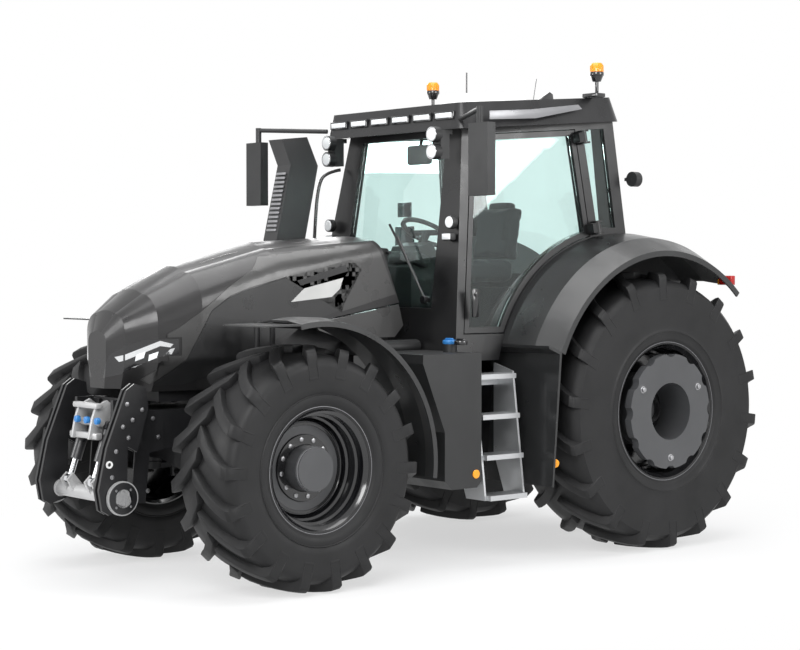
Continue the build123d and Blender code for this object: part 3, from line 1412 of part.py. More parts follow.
# Exhaust stack on the right: a boxed pipe that leans with the pillar and bends forward at its top
with BuildPart() as exhaust_stack:
    with BuildSketch(Plane.YZ.offset(-exhaust_x - exhaust_width / 2)):
        with BuildLine():
            Polyline((-560, tank_top_z + seat_gap), (-569, 2251), (-440, 2800), (-520, 2985), (-290, 3010),
                     (-190, 2800), (-310, 2251), (-310, tank_top_z + seat_gap), close=True)
        make_face()
    extrude(amount=exhaust_width)
exhaust_stack.part.label = "exhaust_stack"
export_step(exhaust_stack.part, "parts/exhaust_stack.step")

# Intake elbow between the hood's side and the cab on the left
with BuildPart() as intake_elbow:
    with BuildLine() as intake_path:
        FilletPolyline((engine_half + seat_gap, -590, 1490), (430, -590, 1490), (430, -130, 1490), radius=90)
    with BuildSketch(Plane(origin=intake_path.line @ 0, z_dir=intake_path.line % 0)):
        Circle(52)
    sweep()
intake_elbow.part.label = "intake_elbow"
export_step(intake_elbow.part, "parts/intake_elbow.step")

# Mirrors on arms from the roof's front corners
with BuildPart() as mirrors:
    with Locations((mirror_x, mirror_y, mirror_z)):
        Box(mirror_width, mirror_depth, mirror_height)
    add(rod_between((mirror_root_x, mirror_root_y, mirror_arm_low_z),
                    (mirror_x - 20, mirror_y, mirror_arm_high_z), mirror_arm_r))
    with BuildSketch(Plane.XY.offset(mirror_z + mirror_height / 2 - 20)):
        with Locations((mirror_x - 20, mirror_y)):
            Circle(mirror_arm_r + 5)
    extrude(amount=mirror_arm_high_z - mirror_z - mirror_height / 2 + 20 + mirror_arm_r)
    mirror(about=Plane.YZ)
mirrors.part.label = "mirrors"
export_step(mirrors.part, "parts/mirrors.step")

# Receiver dome, beacons on posts and the work lights
dome_z = roof_z(dome_y) + roof_height / math.cos(math.radians(roof_tilt))
with BuildPart() as receiver_dome:
    with BuildSketch(roof_plane.offset(roof_height + seat_gap)):
        with Locations((0, dome_y - roof_line_y)):
            RectangleRounded(dome_width, dome_length, 120)
    extrude(amount=dome_height, taper=35)
receiver_dome.part.label = "receiver_dome"
export_step(receiver_dome.part, "parts/receiver_dome.step")

beacon_foot = roof_plane.offset(roof_height + seat_gap)
with BuildPart() as beacons:
    with BuildSketch(beacon_foot):
        with Locations((beacon_x - 75, beacon_y - roof_line_y)):
            Rectangle(200, 50)
    extrude(amount=14)
    with BuildSketch(Plane.XY.offset(roof_z(beacon_y) + roof_height)):
        with Locations((beacon_x, beacon_y)):
            Circle(beacon_post_r)
    extrude(amount=beacon_top_z - beacon_height - roof_z(beacon_y) - roof_height + 5)
    with BuildSketch(Plane.XY.offset(beacon_top_z - beacon_height)):
        with Locations((beacon_x, beacon_y)):
            Circle(beacon_r)
    extrude(amount=beacon_height)
    mirror(about=Plane.YZ)
beacons.part.label = "beacons"
export_step(beacons.part, "parts/beacons.step")

with BuildPart() as work_lights:
    for z in (2969, 2849):
        with Locations((600, -110, z)):
            Cylinder(lamp_r, lamp_depth, rotation=(90, 0, 0))
    with Locations((600, -50, 2900)):
        Box(90, 80, 200)
    with Locations((600, 0, 2990)):
        Box(60, 60, 2 * (roof_z(-30) - seat_gap - 2990))
    with Locations((rear_lamp_x, rear_lamp_y, rear_lamp_z)):
        Cylinder(lamp_r, lamp_depth, rotation=(90, 0, 0))
    with Locations((885, 1540, rear_lamp_z)):
        Box(70, 24, 24)
    mirror(about=Plane.YZ)
work_lights.part.label = "work_lights"
export_step(work_lights.part, "parts/work_lights.step")

# Seat and the cab's fittings
with BuildPart() as seat:
    with BuildSketch(Plane.YZ.offset(-260)):
        with BuildLine():
            Polyline((520, 1900), (1040, 1900), (1150, 2560), (1040, 2570), (950, 2030), (520, 2040), close=True)
        make_face()
    extrude(amount=520)
seat.part.label = "seat"
export_step(seat.part, "parts/seat.step")
with BuildPart() as cab_interior:
    with Locations((0, 780, (cab_bottom_z + cab_floor_t + 1900) / 2)):
        Box(420, 420, 1900 - cab_bottom_z - cab_floor_t - 2 * seat_gap)
    with BuildSketch(Plane.YZ.offset(-150)):
        with BuildLine():
            Polyline((60, cab_bottom_z + cab_floor_t + seat_gap), (60, 2050), (130, 2200), (260, 2230),
                     (300, 2150), (240, cab_bottom_z + cab_floor_t + seat_gap), close=True)
        make_face()
    extrude(amount=300)
    with Locations((-400, 700, 1760)):
        Box(180, 700, 620 - 2 * seat_gap)
    add(rod_between((0, 240, 2150), (0, 330, 2295), 30 + seat_gap), mode=Mode.SUBTRACT)
cab_interior.part.label = "cab_interior"
export_step(cab_interior.part, "parts/cab_interior.step")
with BuildPart() as steering_wheel:
    with BuildSketch(Plane(origin=(0, 330, 2290), x_dir=(1, 0, 0), z_dir=(0, 0.5, 0.87))):
        Circle(205)
        Circle(175, mode=Mode.SUBTRACT)
        Rectangle(370, 40)
    extrude(amount=24)
    add(rod_between((0, 240, 2150), (0, 330, 2295), 30))
steering_wheel.part.label = "steering_wheel"
export_step(steering_wheel.part, "parts/steering_wheel.step")
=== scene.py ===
"""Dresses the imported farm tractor: its finishes, tyres, trim and small fittings, and the studio round it."""

import logging
import math
from dataclasses import dataclass
from enum import Enum
from typing import Callable, Iterable, Sequence

import bmesh
import bpy
from mathutils import Matrix, Vector
from mathutils.bvhtree import BVHTree


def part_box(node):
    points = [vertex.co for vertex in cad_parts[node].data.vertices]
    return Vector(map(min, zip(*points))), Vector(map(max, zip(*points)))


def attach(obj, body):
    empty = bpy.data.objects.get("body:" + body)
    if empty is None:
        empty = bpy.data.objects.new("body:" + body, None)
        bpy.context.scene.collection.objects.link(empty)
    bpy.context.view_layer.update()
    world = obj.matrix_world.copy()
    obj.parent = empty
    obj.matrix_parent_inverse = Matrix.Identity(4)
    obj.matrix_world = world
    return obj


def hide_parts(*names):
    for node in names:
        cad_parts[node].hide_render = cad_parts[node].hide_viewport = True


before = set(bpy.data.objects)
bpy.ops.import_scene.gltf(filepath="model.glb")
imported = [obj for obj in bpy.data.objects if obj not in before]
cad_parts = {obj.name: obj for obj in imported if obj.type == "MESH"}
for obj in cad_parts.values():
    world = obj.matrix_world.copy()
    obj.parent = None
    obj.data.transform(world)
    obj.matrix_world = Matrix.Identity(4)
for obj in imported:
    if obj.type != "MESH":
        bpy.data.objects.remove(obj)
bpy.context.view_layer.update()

log = logging.getLogger("tractor")
Point = tuple[float, float, float]
Flat = tuple[float, float]
LEFT = 1
RIGHT = -1
SIDES = (LEFT, RIGHT)


class Grain(Enum):
    """How a finish breaks up over the surface."""

    PAINT = "paint"
    RUBBER = "rubber"
    MOULDED = "moulded"
    CAST = "cast"
    GLASS = "glass"
    CLOTH = "cloth"
    BRUSHED = "brushed"


@dataclass(frozen=True)
class Finish:
    """One finish: its base colour, gloss, and how far both wander over the surface."""

    name: str
    colour: Point
    roughness: float
    grain: Grain = Grain.PAINT
    metallic: float = 0.0
    coat: float = 0.0
    wander: float = 0.12
    glow: float = 0.0
    clear: float = 0.0

    @property
    def fine_scale(self) -> float:
        """The scale of the fine grain, in ripples a metre."""
        scales = {
            Grain.PAINT: 900.0, Grain.RUBBER: 260.0, Grain.MOULDED: 700.0, Grain.CAST: 340.0,
            Grain.GLASS: 6.0, Grain.CLOTH: 520.0, Grain.BRUSHED: 420.0,
        }
        return scales[self.grain]

    @property
    def relief(self) -> float:
        """How deep the fine grain looks."""
        depths = {
            Grain.PAINT: 0.02, Grain.RUBBER: 0.22, Grain.MOULDED: 0.14, Grain.CAST: 0.30,
            Grain.GLASS: 0.008, Grain.CLOTH: 0.45, Grain.BRUSHED: 0.08,
        }
        return depths[self.grain]

    def material(self) -> bpy.types.Material:
        """The Blender material of this finish, made once."""
        known = bpy.data.materials.get(self.name)
        if known and known.get("tractor_finish"):
            return known
        made = bpy.data.materials.new(self.name)
        made["tractor_finish"] = True
        made.use_nodes = True
        tree = made.node_tree
        shader = tree.nodes["Principled BSDF"]
        shader.inputs["Specular IOR Level"].default_value = 0.32 if self.grain is Grain.RUBBER else 0.5
        place = tree.nodes.new("ShaderNodeTexCoord")
        coords = place.outputs["Object"]
        if self.grain in (Grain.BRUSHED, Grain.CLOTH):
            turn = tree.nodes.new("ShaderNodeMapping")
            scale = (1.0, 0.08, 1.0) if self.grain is Grain.BRUSHED else (1.0, 1.0, 1.0)
            turn.inputs["Scale"].default_value = scale
            tree.links.new(coords, turn.inputs["Vector"])
            coords = turn.outputs["Vector"]
        self._colour(tree, shader, coords)
        self._gloss(tree, shader, coords)
        self._relief(tree, shader, coords)
        shader.inputs["Metallic"].default_value = self.metallic
        shader.inputs["Coat Weight"].default_value = self.coat
        shader.inputs["Coat Roughness"].default_value = 0.08
        if self.clear:
            shader.inputs["Transmission Weight"].default_value = self.clear
            shader.inputs["IOR"].default_value = 1.45
        if self.glow:
            shader.inputs["Emission Color"].default_value = (*self.colour, 1.0)
            shader.inputs["Emission Strength"].default_value = self.glow
        if self.grain is Grain.CLOTH:
            shader.inputs["Sheen Weight"].default_value = 0.3
        return made

    @staticmethod
    def _noise(tree: bpy.types.NodeTree, coords: bpy.types.NodeSocket, scale: float,
               detail: float) -> bpy.types.Node:
        """A noise node at a scale.

        Args:
            tree: The material's nodes.
            coords: Where the noise is read.
            scale: Its ripples a metre.
            detail: How many finer layers it has.

        Returns:
            The noise node.
        """
        noise = tree.nodes.new("ShaderNodeTexNoise")
        noise.inputs["Scale"].default_value = scale
        noise.inputs["Detail"].default_value = detail
        tree.links.new(coords, noise.inputs["Vector"])
        return noise

    def _colour(self, tree: bpy.types.NodeTree, shader: bpy.types.Node, coords: bpy.types.NodeSocket) -> None:
        """Lets the colour wander in broad soft patches."""
        noise = self._noise(tree, coords, 2.4, 4.0)
        ramp = tree.nodes.new("ShaderNodeValToRGB")
        low = 1.0 - self.wander
        high = 1.0 + self.wander
        ramp.color_ramp.elements[0].position = 0.3
        ramp.color_ramp.elements[1].position = 0.7
        ramp.color_ramp.elements[0].color = (*[min(1.0, c * low) for c in self.colour], 1.0)
        ramp.color_ramp.elements[1].color = (*[min(1.0, c * high) for c in self.colour], 1.0)
        tree.links.new(noise.outputs["Fac"], ramp.inputs["Fac"])
        tree.links.new(ramp.outputs["Color"], shader.inputs["Base Color"])

    def _gloss(self, tree: bpy.types.NodeTree, shader: bpy.types.Node, coords: bpy.types.NodeSocket) -> None:
        """Lets the roughness wander, as handling and dust leave it."""
        noise = self._noise(tree, coords, 5.5, 5.0)
        span = tree.nodes.new("ShaderNodeMapRange")
        spread = 0.0 if self.clear else 0.09
        rise = 0.01 if self.clear else spread
        span.inputs["From Min"].default_value = 0.3
        span.inputs["From Max"].default_value = 0.7
        span.inputs["To Min"].default_value = max(0.0, self.roughness - spread)
        span.inputs["To Max"].default_value = min(1.0, self.roughness + rise)
        tree.links.new(noise.outputs["Fac"], span.inputs["Value"])
        tree.links.new(span.outputs["Result"], shader.inputs["Roughness"])

    def _relief(self, tree: bpy.types.NodeTree, shader: bpy.types.Node, coords: bpy.types.NodeSocket) -> None:
        """Adds the fine grain as bump."""
        noise = self._noise(tree, coords, self.fine_scale, 2.0)
        bump = tree.nodes.new("ShaderNodeBump")
        bump.inputs["Strength"].default_value = self.relief
        bump.inputs["Distance"].default_value = 0.001
        tree.links.new(noise.outputs["Fac"], bump.inputs["Height"])
        tree.links.new(bump.outputs["Normal"], shader.inputs["Normal"])


class Finishes:
    """Every finish on the tractor."""

    rubber = Finish("rubber", (0.010, 0.010, 0.0105), 0.55, Grain.RUBBER, wander=0.25)
    rim = Finish("rim", (0.006, 0.006, 0.007), 0.16, coat=0.6, wander=0.2)
    rim_edge = Finish("rim_edge", (0.22, 0.22, 0.23), 0.30, metallic=0.7)
    wheel_grey = Finish("wheel_grey", (0.060, 0.061, 0.064), 0.42, Grain.CAST)
    cap_grey = Finish("cap_grey", (0.30, 0.30, 0.31), 0.40, Grain.CAST)
    chassis = Finish("chassis", (0.011, 0.011, 0.012), 0.42, Grain.CAST, wander=0.2)
    hood = Finish("hood", (0.026, 0.0255, 0.026), 0.34, metallic=0.5, coat=0.2, wander=0.02)
    hood_side = Finish("hood_side", (0.060, 0.0595, 0.059), 0.32, metallic=0.5, coat=0.2, wander=0.02)
    inset = Finish("inset", (0.011, 0.011, 0.0115), 0.34, coat=0.1)
    gloss_black = Finish("gloss_black", (0.008, 0.008, 0.009), 0.14, coat=0.7, wander=0.2)
    plastic = Finish("plastic", (0.014, 0.0145, 0.015), 0.45, Grain.MOULDED, wander=0.15)
    fender = Finish("fender", (0.017, 0.0175, 0.018), 0.34, Grain.MOULDED, coat=0.15)
    cab = Finish("cab", (0.008, 0.008, 0.0085), 0.34, coat=0.1)
    roof = Finish("roof", (0.018, 0.018, 0.019), 0.32, metallic=0.3, coat=0.2)
    glass = Finish("glass", (0.80, 0.93, 0.91), 0.0, Grain.GLASS, wander=0.02, clear=1.0)
    bright = Finish("bright", (0.78, 0.79, 0.80), 0.16, Grain.BRUSHED, metallic=0.9, wander=0.05)
    lamp_face = Finish("lamp_face", (0.85, 0.87, 0.88), 0.22, Grain.BRUSHED, wander=0.05)
    light_cast = Finish("light_cast", (0.46, 0.46, 0.46), 0.44, Grain.CAST, metallic=0.35)
    edge_light = Finish("edge_light", (0.52, 0.52, 0.51), 0.40, Grain.CAST, metallic=0.3)
    cylinder = Finish("cylinder", (0.024, 0.024, 0.026), 0.30, coat=0.3)
    chrome = Finish("chrome", (0.72, 0.73, 0.75), 0.10, Grain.BRUSHED, metallic=1.0, wander=0.04)
    steel = Finish("steel", (0.38, 0.38, 0.39), 0.32, Grain.BRUSHED, metallic=0.9)
    aluminium = Finish("aluminium", (0.58, 0.59, 0.60), 0.34, Grain.BRUSHED, metallic=0.85)
    exhaust = Finish("exhaust", (0.035, 0.035, 0.036), 0.40, metallic=0.35, coat=0.1)
    exhaust_face = Finish("exhaust_face", (0.28, 0.28, 0.29), 0.36, metallic=0.5)
    white = Finish("white", (0.80, 0.80, 0.79), 0.34, Grain.MOULDED, wander=0.04)
    amber = Finish("amber", (0.95, 0.30, 0.015), 0.12, Grain.GLASS, wander=0.10, glow=0.12)
    amber_reflex = Finish("amber_reflex", (0.95, 0.36, 0.02), 0.25, Grain.MOULDED, wander=0.1)
    red = Finish("red", (0.42, 0.012, 0.010), 0.18, Grain.MOULDED, wander=0.1)
    blue = Finish("blue", (0.03, 0.20, 0.52), 0.32, Grain.MOULDED, wander=0.1)
    seat = Finish("seat", (0.030, 0.030, 0.033), 0.82, Grain.CLOTH, wander=0.2)
    mirror_glass = Finish("mirror_glass", (0.75, 0.78, 0.80), 0.03, metallic=1.0, wander=0.03)
    screen = Finish("screen", (0.012, 0.016, 0.022), 0.08, coat=0.6)


def cad_mesh(node: str) -> BVHTree:
    """A search tree of a CAD node's faces.

    Args:
        node: The node's name.

    Returns:
        The tree, in metres at rest.
    """
    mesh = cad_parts[node].data
    corners = [v.co.copy() for v in mesh.vertices]
    return BVHTree.FromPolygons(corners, [tuple(p.vertices) for p in mesh.polygons])


class Mould:
    """A growing mesh for one piece, shaped with bmesh operators."""

    def __init__(self, name: str, finish: Finish) -> None:
        """Starts an empty piece."""
        self.name = name
        self.finish = finish
        self.bm = bmesh.new()

    def take(self, part: bmesh.types.BMesh, places: Iterable[Matrix] = (Matrix.Identity(4),)) -> "Mould":
        """Copies a shape into the piece at each place, and frees it.

        Args:
            part: The shape to copy.
            places: One matrix for each copy.

        Returns:
            The mould itself.
        """
        mesh = bpy.data.meshes.new("part")
        part.to_mesh(mesh)
        part.free()
        for place in places:
            copy = mesh.copy()
            copy.transform(place)
            if place.determinant() < 0:
                copy.flip_normals()
            self.bm.from_mesh(copy)
            bpy.data.meshes.remove(copy)
        bpy.data.meshes.remove(mesh)
        return self

    @staticmethod
    def _soften(part: bmesh.types.BMesh, edge: float, above: float = 0.5, segments: int = 2) -> None:
        """Rounds the edges that are sharper than an angle in radians.

        Args:
            part: The shape.
            edge: How far it is rounded.
            above: The angle.
            segments: The faces across each rounding.
        """
        if edge <= 0:
            return
        sharp = [e for e in part.edges if len(e.link_faces) == 2 and e.calc_face_angle(0.0) > above]
        bmesh.ops.bevel(part, geom=sharp, offset=edge, offset_type="OFFSET", segments=segments, profile=0.5,
                        affect="EDGES", material=-1, clamp_overlap=True)

    @staticmethod
    def _aim(axis: Point, centre: Point) -> Matrix:
        """The matrix that turns +Z to an axis and moves the origin to a centre.

        Args:
            axis: The way that +Z then points.
            centre: Where the origin goes.

        Returns:
            The matrix.
        """
        return Matrix.Translation(centre) @ Vector(axis).to_track_quat("Z", "Y").to_matrix().to_4x4()

    def block(self, size: Point, centre: Point, edge: float = 0.003, turn: Matrix | None = None) -> "Mould":
        """Adds a block with softened edges.

        Args:
            size: Its size along x, y and z.
            centre: Its middle.
            edge: How far its edges are rounded.
            turn: How it is turned about its middle.

        Returns:
            The mould itself.
        """
        part = bmesh.new()
        bmesh.ops.create_cube(part, size=1.0)
        bmesh.ops.scale(part, vec=size, verts=part.verts)
        self._soften(part, edge)
        place = Matrix.Translation(centre) @ (turn or Matrix.Identity(4))
        return self.take(part, [place])

    def drum(self, radius: float, depth: float, centre: Point, axis: Point = (0, 0, 1), sides: int = 40,
             edge: float = 0.002, top: float | None = None) -> "Mould":
        """Adds a round or many-sided drum, centred on its middle, with softened rims.

        Args:
            radius: Its radius, or that of its foot.
            depth: Its length along the axis.
            centre: Its middle.
            axis: The way that it points.
            sides: How many sides it has.
            edge: How far its rims are rounded.
            top: The radius of its far end, where it tapers.

        Returns:
            The mould itself.
        """
        part = bmesh.new()
        bmesh.ops.create_cone(part, cap_ends=True, segments=sides, radius1=radius,
                              radius2=radius if top is None else top, depth=depth)
        self._soften(part, edge, above=0.9)
        return self.take(part, [self._aim(axis, centre)])

    def bolt(self, centre: Point, axis: Point, size: float = 0.012) -> "Mould":
        """Adds a hexagon head on its washer, standing along an axis.

        Args:
            centre: The middle of its foot.
            axis: The way that it stands.
            size: The radius of the head.

        Returns:
            The mould itself.
        """
        way = Vector(axis).normalized()
        self.drum(size * 1.35, size * 0.3, tuple(Vector(centre) + way * size * 0.15), axis, 20, size * 0.06)
        return self.drum(size, size * 0.8, tuple(Vector(centre) + way * size * 0.7), axis, 6, size * 0.1)

    def lathe(self, section: Sequence[Flat], centre: Point, outward: Point, steps: int = 96) -> "Mould":
        """Spins a closed section of (along, radius) pairs about an axis.

        Args:
            section: The corners of the section.
            centre: A point on the axis.
            outward: The way of the axis.
            steps: The faces round it.

        Returns:
            The mould itself.
        """
        part = bmesh.new()
        verts = [part.verts.new((radius, 0.0, along)) for along, radius in section]
        edges = [part.edges.new((verts[i - 1], verts[i])) for i in range(len(verts))]
        bmesh.ops.spin(part, geom=verts + edges, cent=(0, 0, 0), axis=(0, 0, 1), angle=2 * math.pi,
                       steps=steps, use_merge=True)
        bmesh.ops.remove_doubles(part, verts=part.verts, dist=1e-5)
        bmesh.ops.recalc_face_normals(part, faces=part.faces)
        return self.take(part, [self._aim(outward, centre)])

    def plate(self, outline: Sequence[Flat], start: float, thickness: float, axis: str = "x",
              edge: float = 0.0015) -> "Mould":
        """Extrudes an outline; axis says which way it faces, and the outline is in the other two.

        Args:
            outline: The corners.
            start: Where the first face lies along the axis.
            thickness: How far it reaches from there.
            axis: The letter of the axis.
            edge: How far its edges are rounded.

        Returns:
            The mould itself.
        """
        part = bmesh.new()
        corner: dict[str, Callable[[float, float], Point]] = {
            "x": lambda a, b: (start, a, b), "y": lambda a, b: (a, start, b), "z": lambda a, b: (a, b, start),
        }
        face = part.faces.new([part.verts.new(corner[axis](a, b)) for a, b in outline])
        grown = bmesh.ops.extrude_face_region(part, geom=[face])["geom"]
        shift = {"x": (thickness, 0, 0), "y": (0, thickness, 0), "z": (0, 0, thickness)}[axis]
        bmesh.ops.translate(part, vec=shift, verts=[g for g in grown if isinstance(g, bmesh.types.BMVert)])
        bmesh.ops.recalc_face_normals(part, faces=part.faces)
        self._soften(part, edge)
        return self.take(part)

    def tube(self, points: Sequence[Point], radius: float, smooth: bool = True) -> "Mould":
        """Adds a round bar along points.

        Args:
            points: The points that its middle follows.
            radius: Its radius.
            smooth: Whether it bends evenly, or in straight runs.

        Returns:
            The mould itself.
        """
        curve = bpy.data.curves.new("run", "CURVE")
        curve.dimensions = "3D"
        curve.bevel_depth = radius
        curve.bevel_resolution = 5
        curve.resolution_u = 10
        curve.use_fill_caps = True
        run = curve.splines.new("NURBS" if smooth else "POLY")
        run.points.add(len(points) - 1)
        for spot, point in zip(run.points, points):
            spot.co = (*point, 1.0)
        if smooth:
            run.order_u = 3
            run.use_endpoint_u = True
        holder = bpy.data.objects.new("run", curve)
        bpy.context.scene.collection.objects.link(holder)
        bpy.context.view_layer.update()
        mesh = bpy.data.meshes.new_from_object(holder.evaluated_get(bpy.context.evaluated_depsgraph_get()))
        bpy.data.objects.remove(holder)
        bpy.data.curves.remove(curve)
        part = bmesh.new()
        part.from_mesh(mesh)
        bpy.data.meshes.remove(mesh)
        bmesh.ops.remove_doubles(part, verts=part.verts, dist=1e-5)
        bmesh.ops.recalc_face_normals(part, faces=part.faces)
        return self.take(part)

    def drape(self, outline: Sequence[Flat], target: BVHTree, side: int, lift: float = 0.004,
              thickness: float = 0.006, mesh_size: float = 0.03) -> "Mould":
        """Lays a panel on a surface; its outline is in side view (y, z).

        Args:
            outline: The panel's corners.
            target: The surface that it lies on.
            side: The side that it is seen from, +1 or -1.
            lift: How far it stands out of the surface.
            thickness: Its thickness.
            mesh_size: The spacing of its mesh.

        Returns:
            The mould itself.
        """
        part = bmesh.new()
        spots = [(0.0, y, z) for y, z in outline]
        part.faces.new([part.verts.new(spot) for spot in spots])
        bmesh.ops.triangulate(part, faces=part.faces[:])
        for index in (1, 2):
            low = min(spot[index] for spot in spots)
            high = max(spot[index] for spot in spots)
            normal = [0.0, 0.0, 0.0]
            normal[index] = 1.0
            bands = int((high - low) / mesh_size) + 1
            for step in range(1, bands):
                cut = [0.0, 0.0, 0.0]
                cut[index] = low + step * (high - low) / bands
                geom = part.verts[:] + part.edges[:] + part.faces[:]
                bmesh.ops.bisect_plane(part, geom=geom, plane_co=cut, plane_no=normal)
        outside = side * 1.5
        way = Vector((-side, 0, 0))
        missed = []
        for vert in part.verts:
            hit = target.ray_cast(Vector((outside, vert.co.y, vert.co.z)), way)[0]
            if hit is None:
                missed.append(vert)
            else:
                vert.co = hit - way * lift
        bmesh.ops.delete(part, geom=missed, context="VERTS")
        grown = bmesh.ops.extrude_face_region(part, geom=part.faces[:])["geom"]
        inner = [g for g in grown if isinstance(g, bmesh.types.BMVert)]
        bmesh.ops.translate(part, vec=way * thickness, verts=inner)
        bmesh.ops.recalc_face_normals(part, faces=part.faces)
        return self.take(part)

    def mirror(self) -> "Mould":
        """Adds the same on the other side of the tractor."""
        mesh = bpy.data.meshes.new("half")
        self.bm.to_mesh(mesh)
        mesh.transform(Matrix.Scale(-1, 4, (1, 0, 0)))
        mesh.flip_normals()
        self.bm.from_mesh(mesh)
        bpy.data.meshes.remove(mesh)
        return self

    def cast(self, body: str, slot: str, replaces: Sequence[str] = (),
             smooth: float = 38.0) -> bpy.types.Object:
        """Makes the piece an object that rides on a body.

        Args:
            body: The CAD body that it moves with.
            slot: The record's material slot; it is not used.
            replaces: CAD nodes that it stands for.
            smooth: Edges sharper than this many degrees stay sharp.

        Returns:
            The finished object.
        """
        limit = math.radians(smooth)
        for face in self.bm.faces:
            face.smooth = True
        for line in self.bm.edges:
            line.smooth = len(line.link_faces) == 2 and line.calc_face_angle(0.0) < limit
        mesh = bpy.data.meshes.new(self.name)
        self.bm.to_mesh(mesh)
        self.bm.free()
        mesh.materials.append(self.finish.material())
        piece = bpy.data.objects.new(self.name, mesh)
        bpy.context.scene.collection.objects.link(piece)
        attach(piece, body)
        if replaces:
            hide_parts(*replaces)
        log.info("%s: %d faces on %s", self.name, len(mesh.polygons), body)
        return piece


@dataclass
class Paintwork:
    """Gives every CAD node its finish."""

    def nodes(self) -> dict[str, Finish]:
        """The finish of each node by name."""
        groups = (
            (Finishes.chassis, ("drawbar", "engine_block", "front_axle", "front_frame", "hood_hinge",
                                "lift_arms", "linkage_frame", "lower_links", "tie_rod", "transmission")),
            (Finishes.plastic, ("cab_interior", "fuel_tank", "intake_elbow", "mirrors", "side_box",
                                "steering_wheel", "work_lights")),
            (Finishes.cab, ("cab_frame", "door_left")),
            (Finishes.glass, ("cab_glass", "door_glass")),
            (Finishes.cylinder, ("front_barrels", "lift_rods")),
            (Finishes.amber, ("beacons",)),
            (Finishes.roof, ("cab_roof",)),
            (Finishes.aluminium, ("cab_steps",)),
            (Finishes.steel, ("cylinder_pins",)),
            (Finishes.exhaust, ("exhaust_stack",)),
            (Finishes.light_cast, ("front_rocker",)),
            (Finishes.chrome, ("front_rods",)),
            (Finishes.gloss_black, ("headlights",)),
            (Finishes.hood, ("hood",)),
            (Finishes.hood_side, ("side_panels",)),
            (Finishes.white, ("receiver_dome",)),
            (Finishes.seat, ("seat",)),
        )
        paint = {name: finish for finish, names in groups for name in names}
        for name in ("left", "right"):
            paint[f"front_fender_{name}"] = Finishes.fender
            paint[f"rear_fender_{name}"] = Finishes.fender
            paint[f"knuckle_{name}"] = Finishes.chassis
            paint[f"front_hub_{name}"] = Finishes.wheel_grey
            paint[f"rear_hub_{name}"] = Finishes.wheel_grey
            paint[f"rear_weight_{name}"] = Finishes.wheel_grey
            for end in ("front", "rear"):
                paint[f"rim_{end}_{name}"] = Finishes.rim
                paint[f"tyre_{end}_{name}"] = Finishes.rubber
        return paint

    def apply(self) -> None:
        """Puts each finish in its node's material slots."""
        paint = self.nodes()
        for name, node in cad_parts.items():
            material = paint.get(name, Finishes.plastic).material()
            if not node.data.materials:
                node.data.materials.append(material)
            for place in node.material_slots:
                place.material = material


@dataclass(frozen=True)
class Wheel:
    """Where one wheel stands and how large its parts are, in metres."""

    end: str
    side: int
    track: float
    axle_y: float
    radius: float
    width: float
    seat: float
    rim_width: float
    disc_in: float

    @property
    def name(self) -> str:
        """The wheel's name, as its body has it."""
        return f"{self.end}_{'left' if self.side > 0 else 'right'}"

    @property
    def centre(self) -> Point:
        """The middle of the wheel."""
        return (self.side * self.track, self.axle_y, self.radius)

    @property
    def outward(self) -> Point:
        """The way that the wheel faces."""
        return (float(self.side), 0.0, 0.0)

    @property
    def lip(self) -> float:
        """The rim's edge, from the wheel's middle."""
        return self.rim_width / 2 + 0.009

    @property
    def face(self) -> float:
        """The disc's outer face, from the wheel's middle."""
        return self.lip - self.disc_in

    def spot(self, out: float, radius: float, degrees: float) -> Point:
        """A point on the wheel by its distance outwards, radius and angle.

        Args:
            out: The distance from the wheel's middle.
            radius: The distance from its axis.
            degrees: The angle about the axis, from +Y.

        Returns:
            The point.
        """
        turn = math.radians(degrees)
        return (self.side * (self.track + out), self.axle_y + radius * math.cos(turn),
                self.radius + radius * math.sin(turn))


WHEELS = tuple(
    Wheel("front", side, track=0.940, axle_y=-1.550, radius=0.780, width=0.598, seat=0.381,
          rim_width=0.508, disc_in=0.216) for side in SIDES
) + tuple(
    Wheel("rear", side, track=1.000, axle_y=1.500, radius=1.008, width=0.648, seat=0.4826,
          rim_width=0.584, disc_in=0.250) for side in SIDES
)


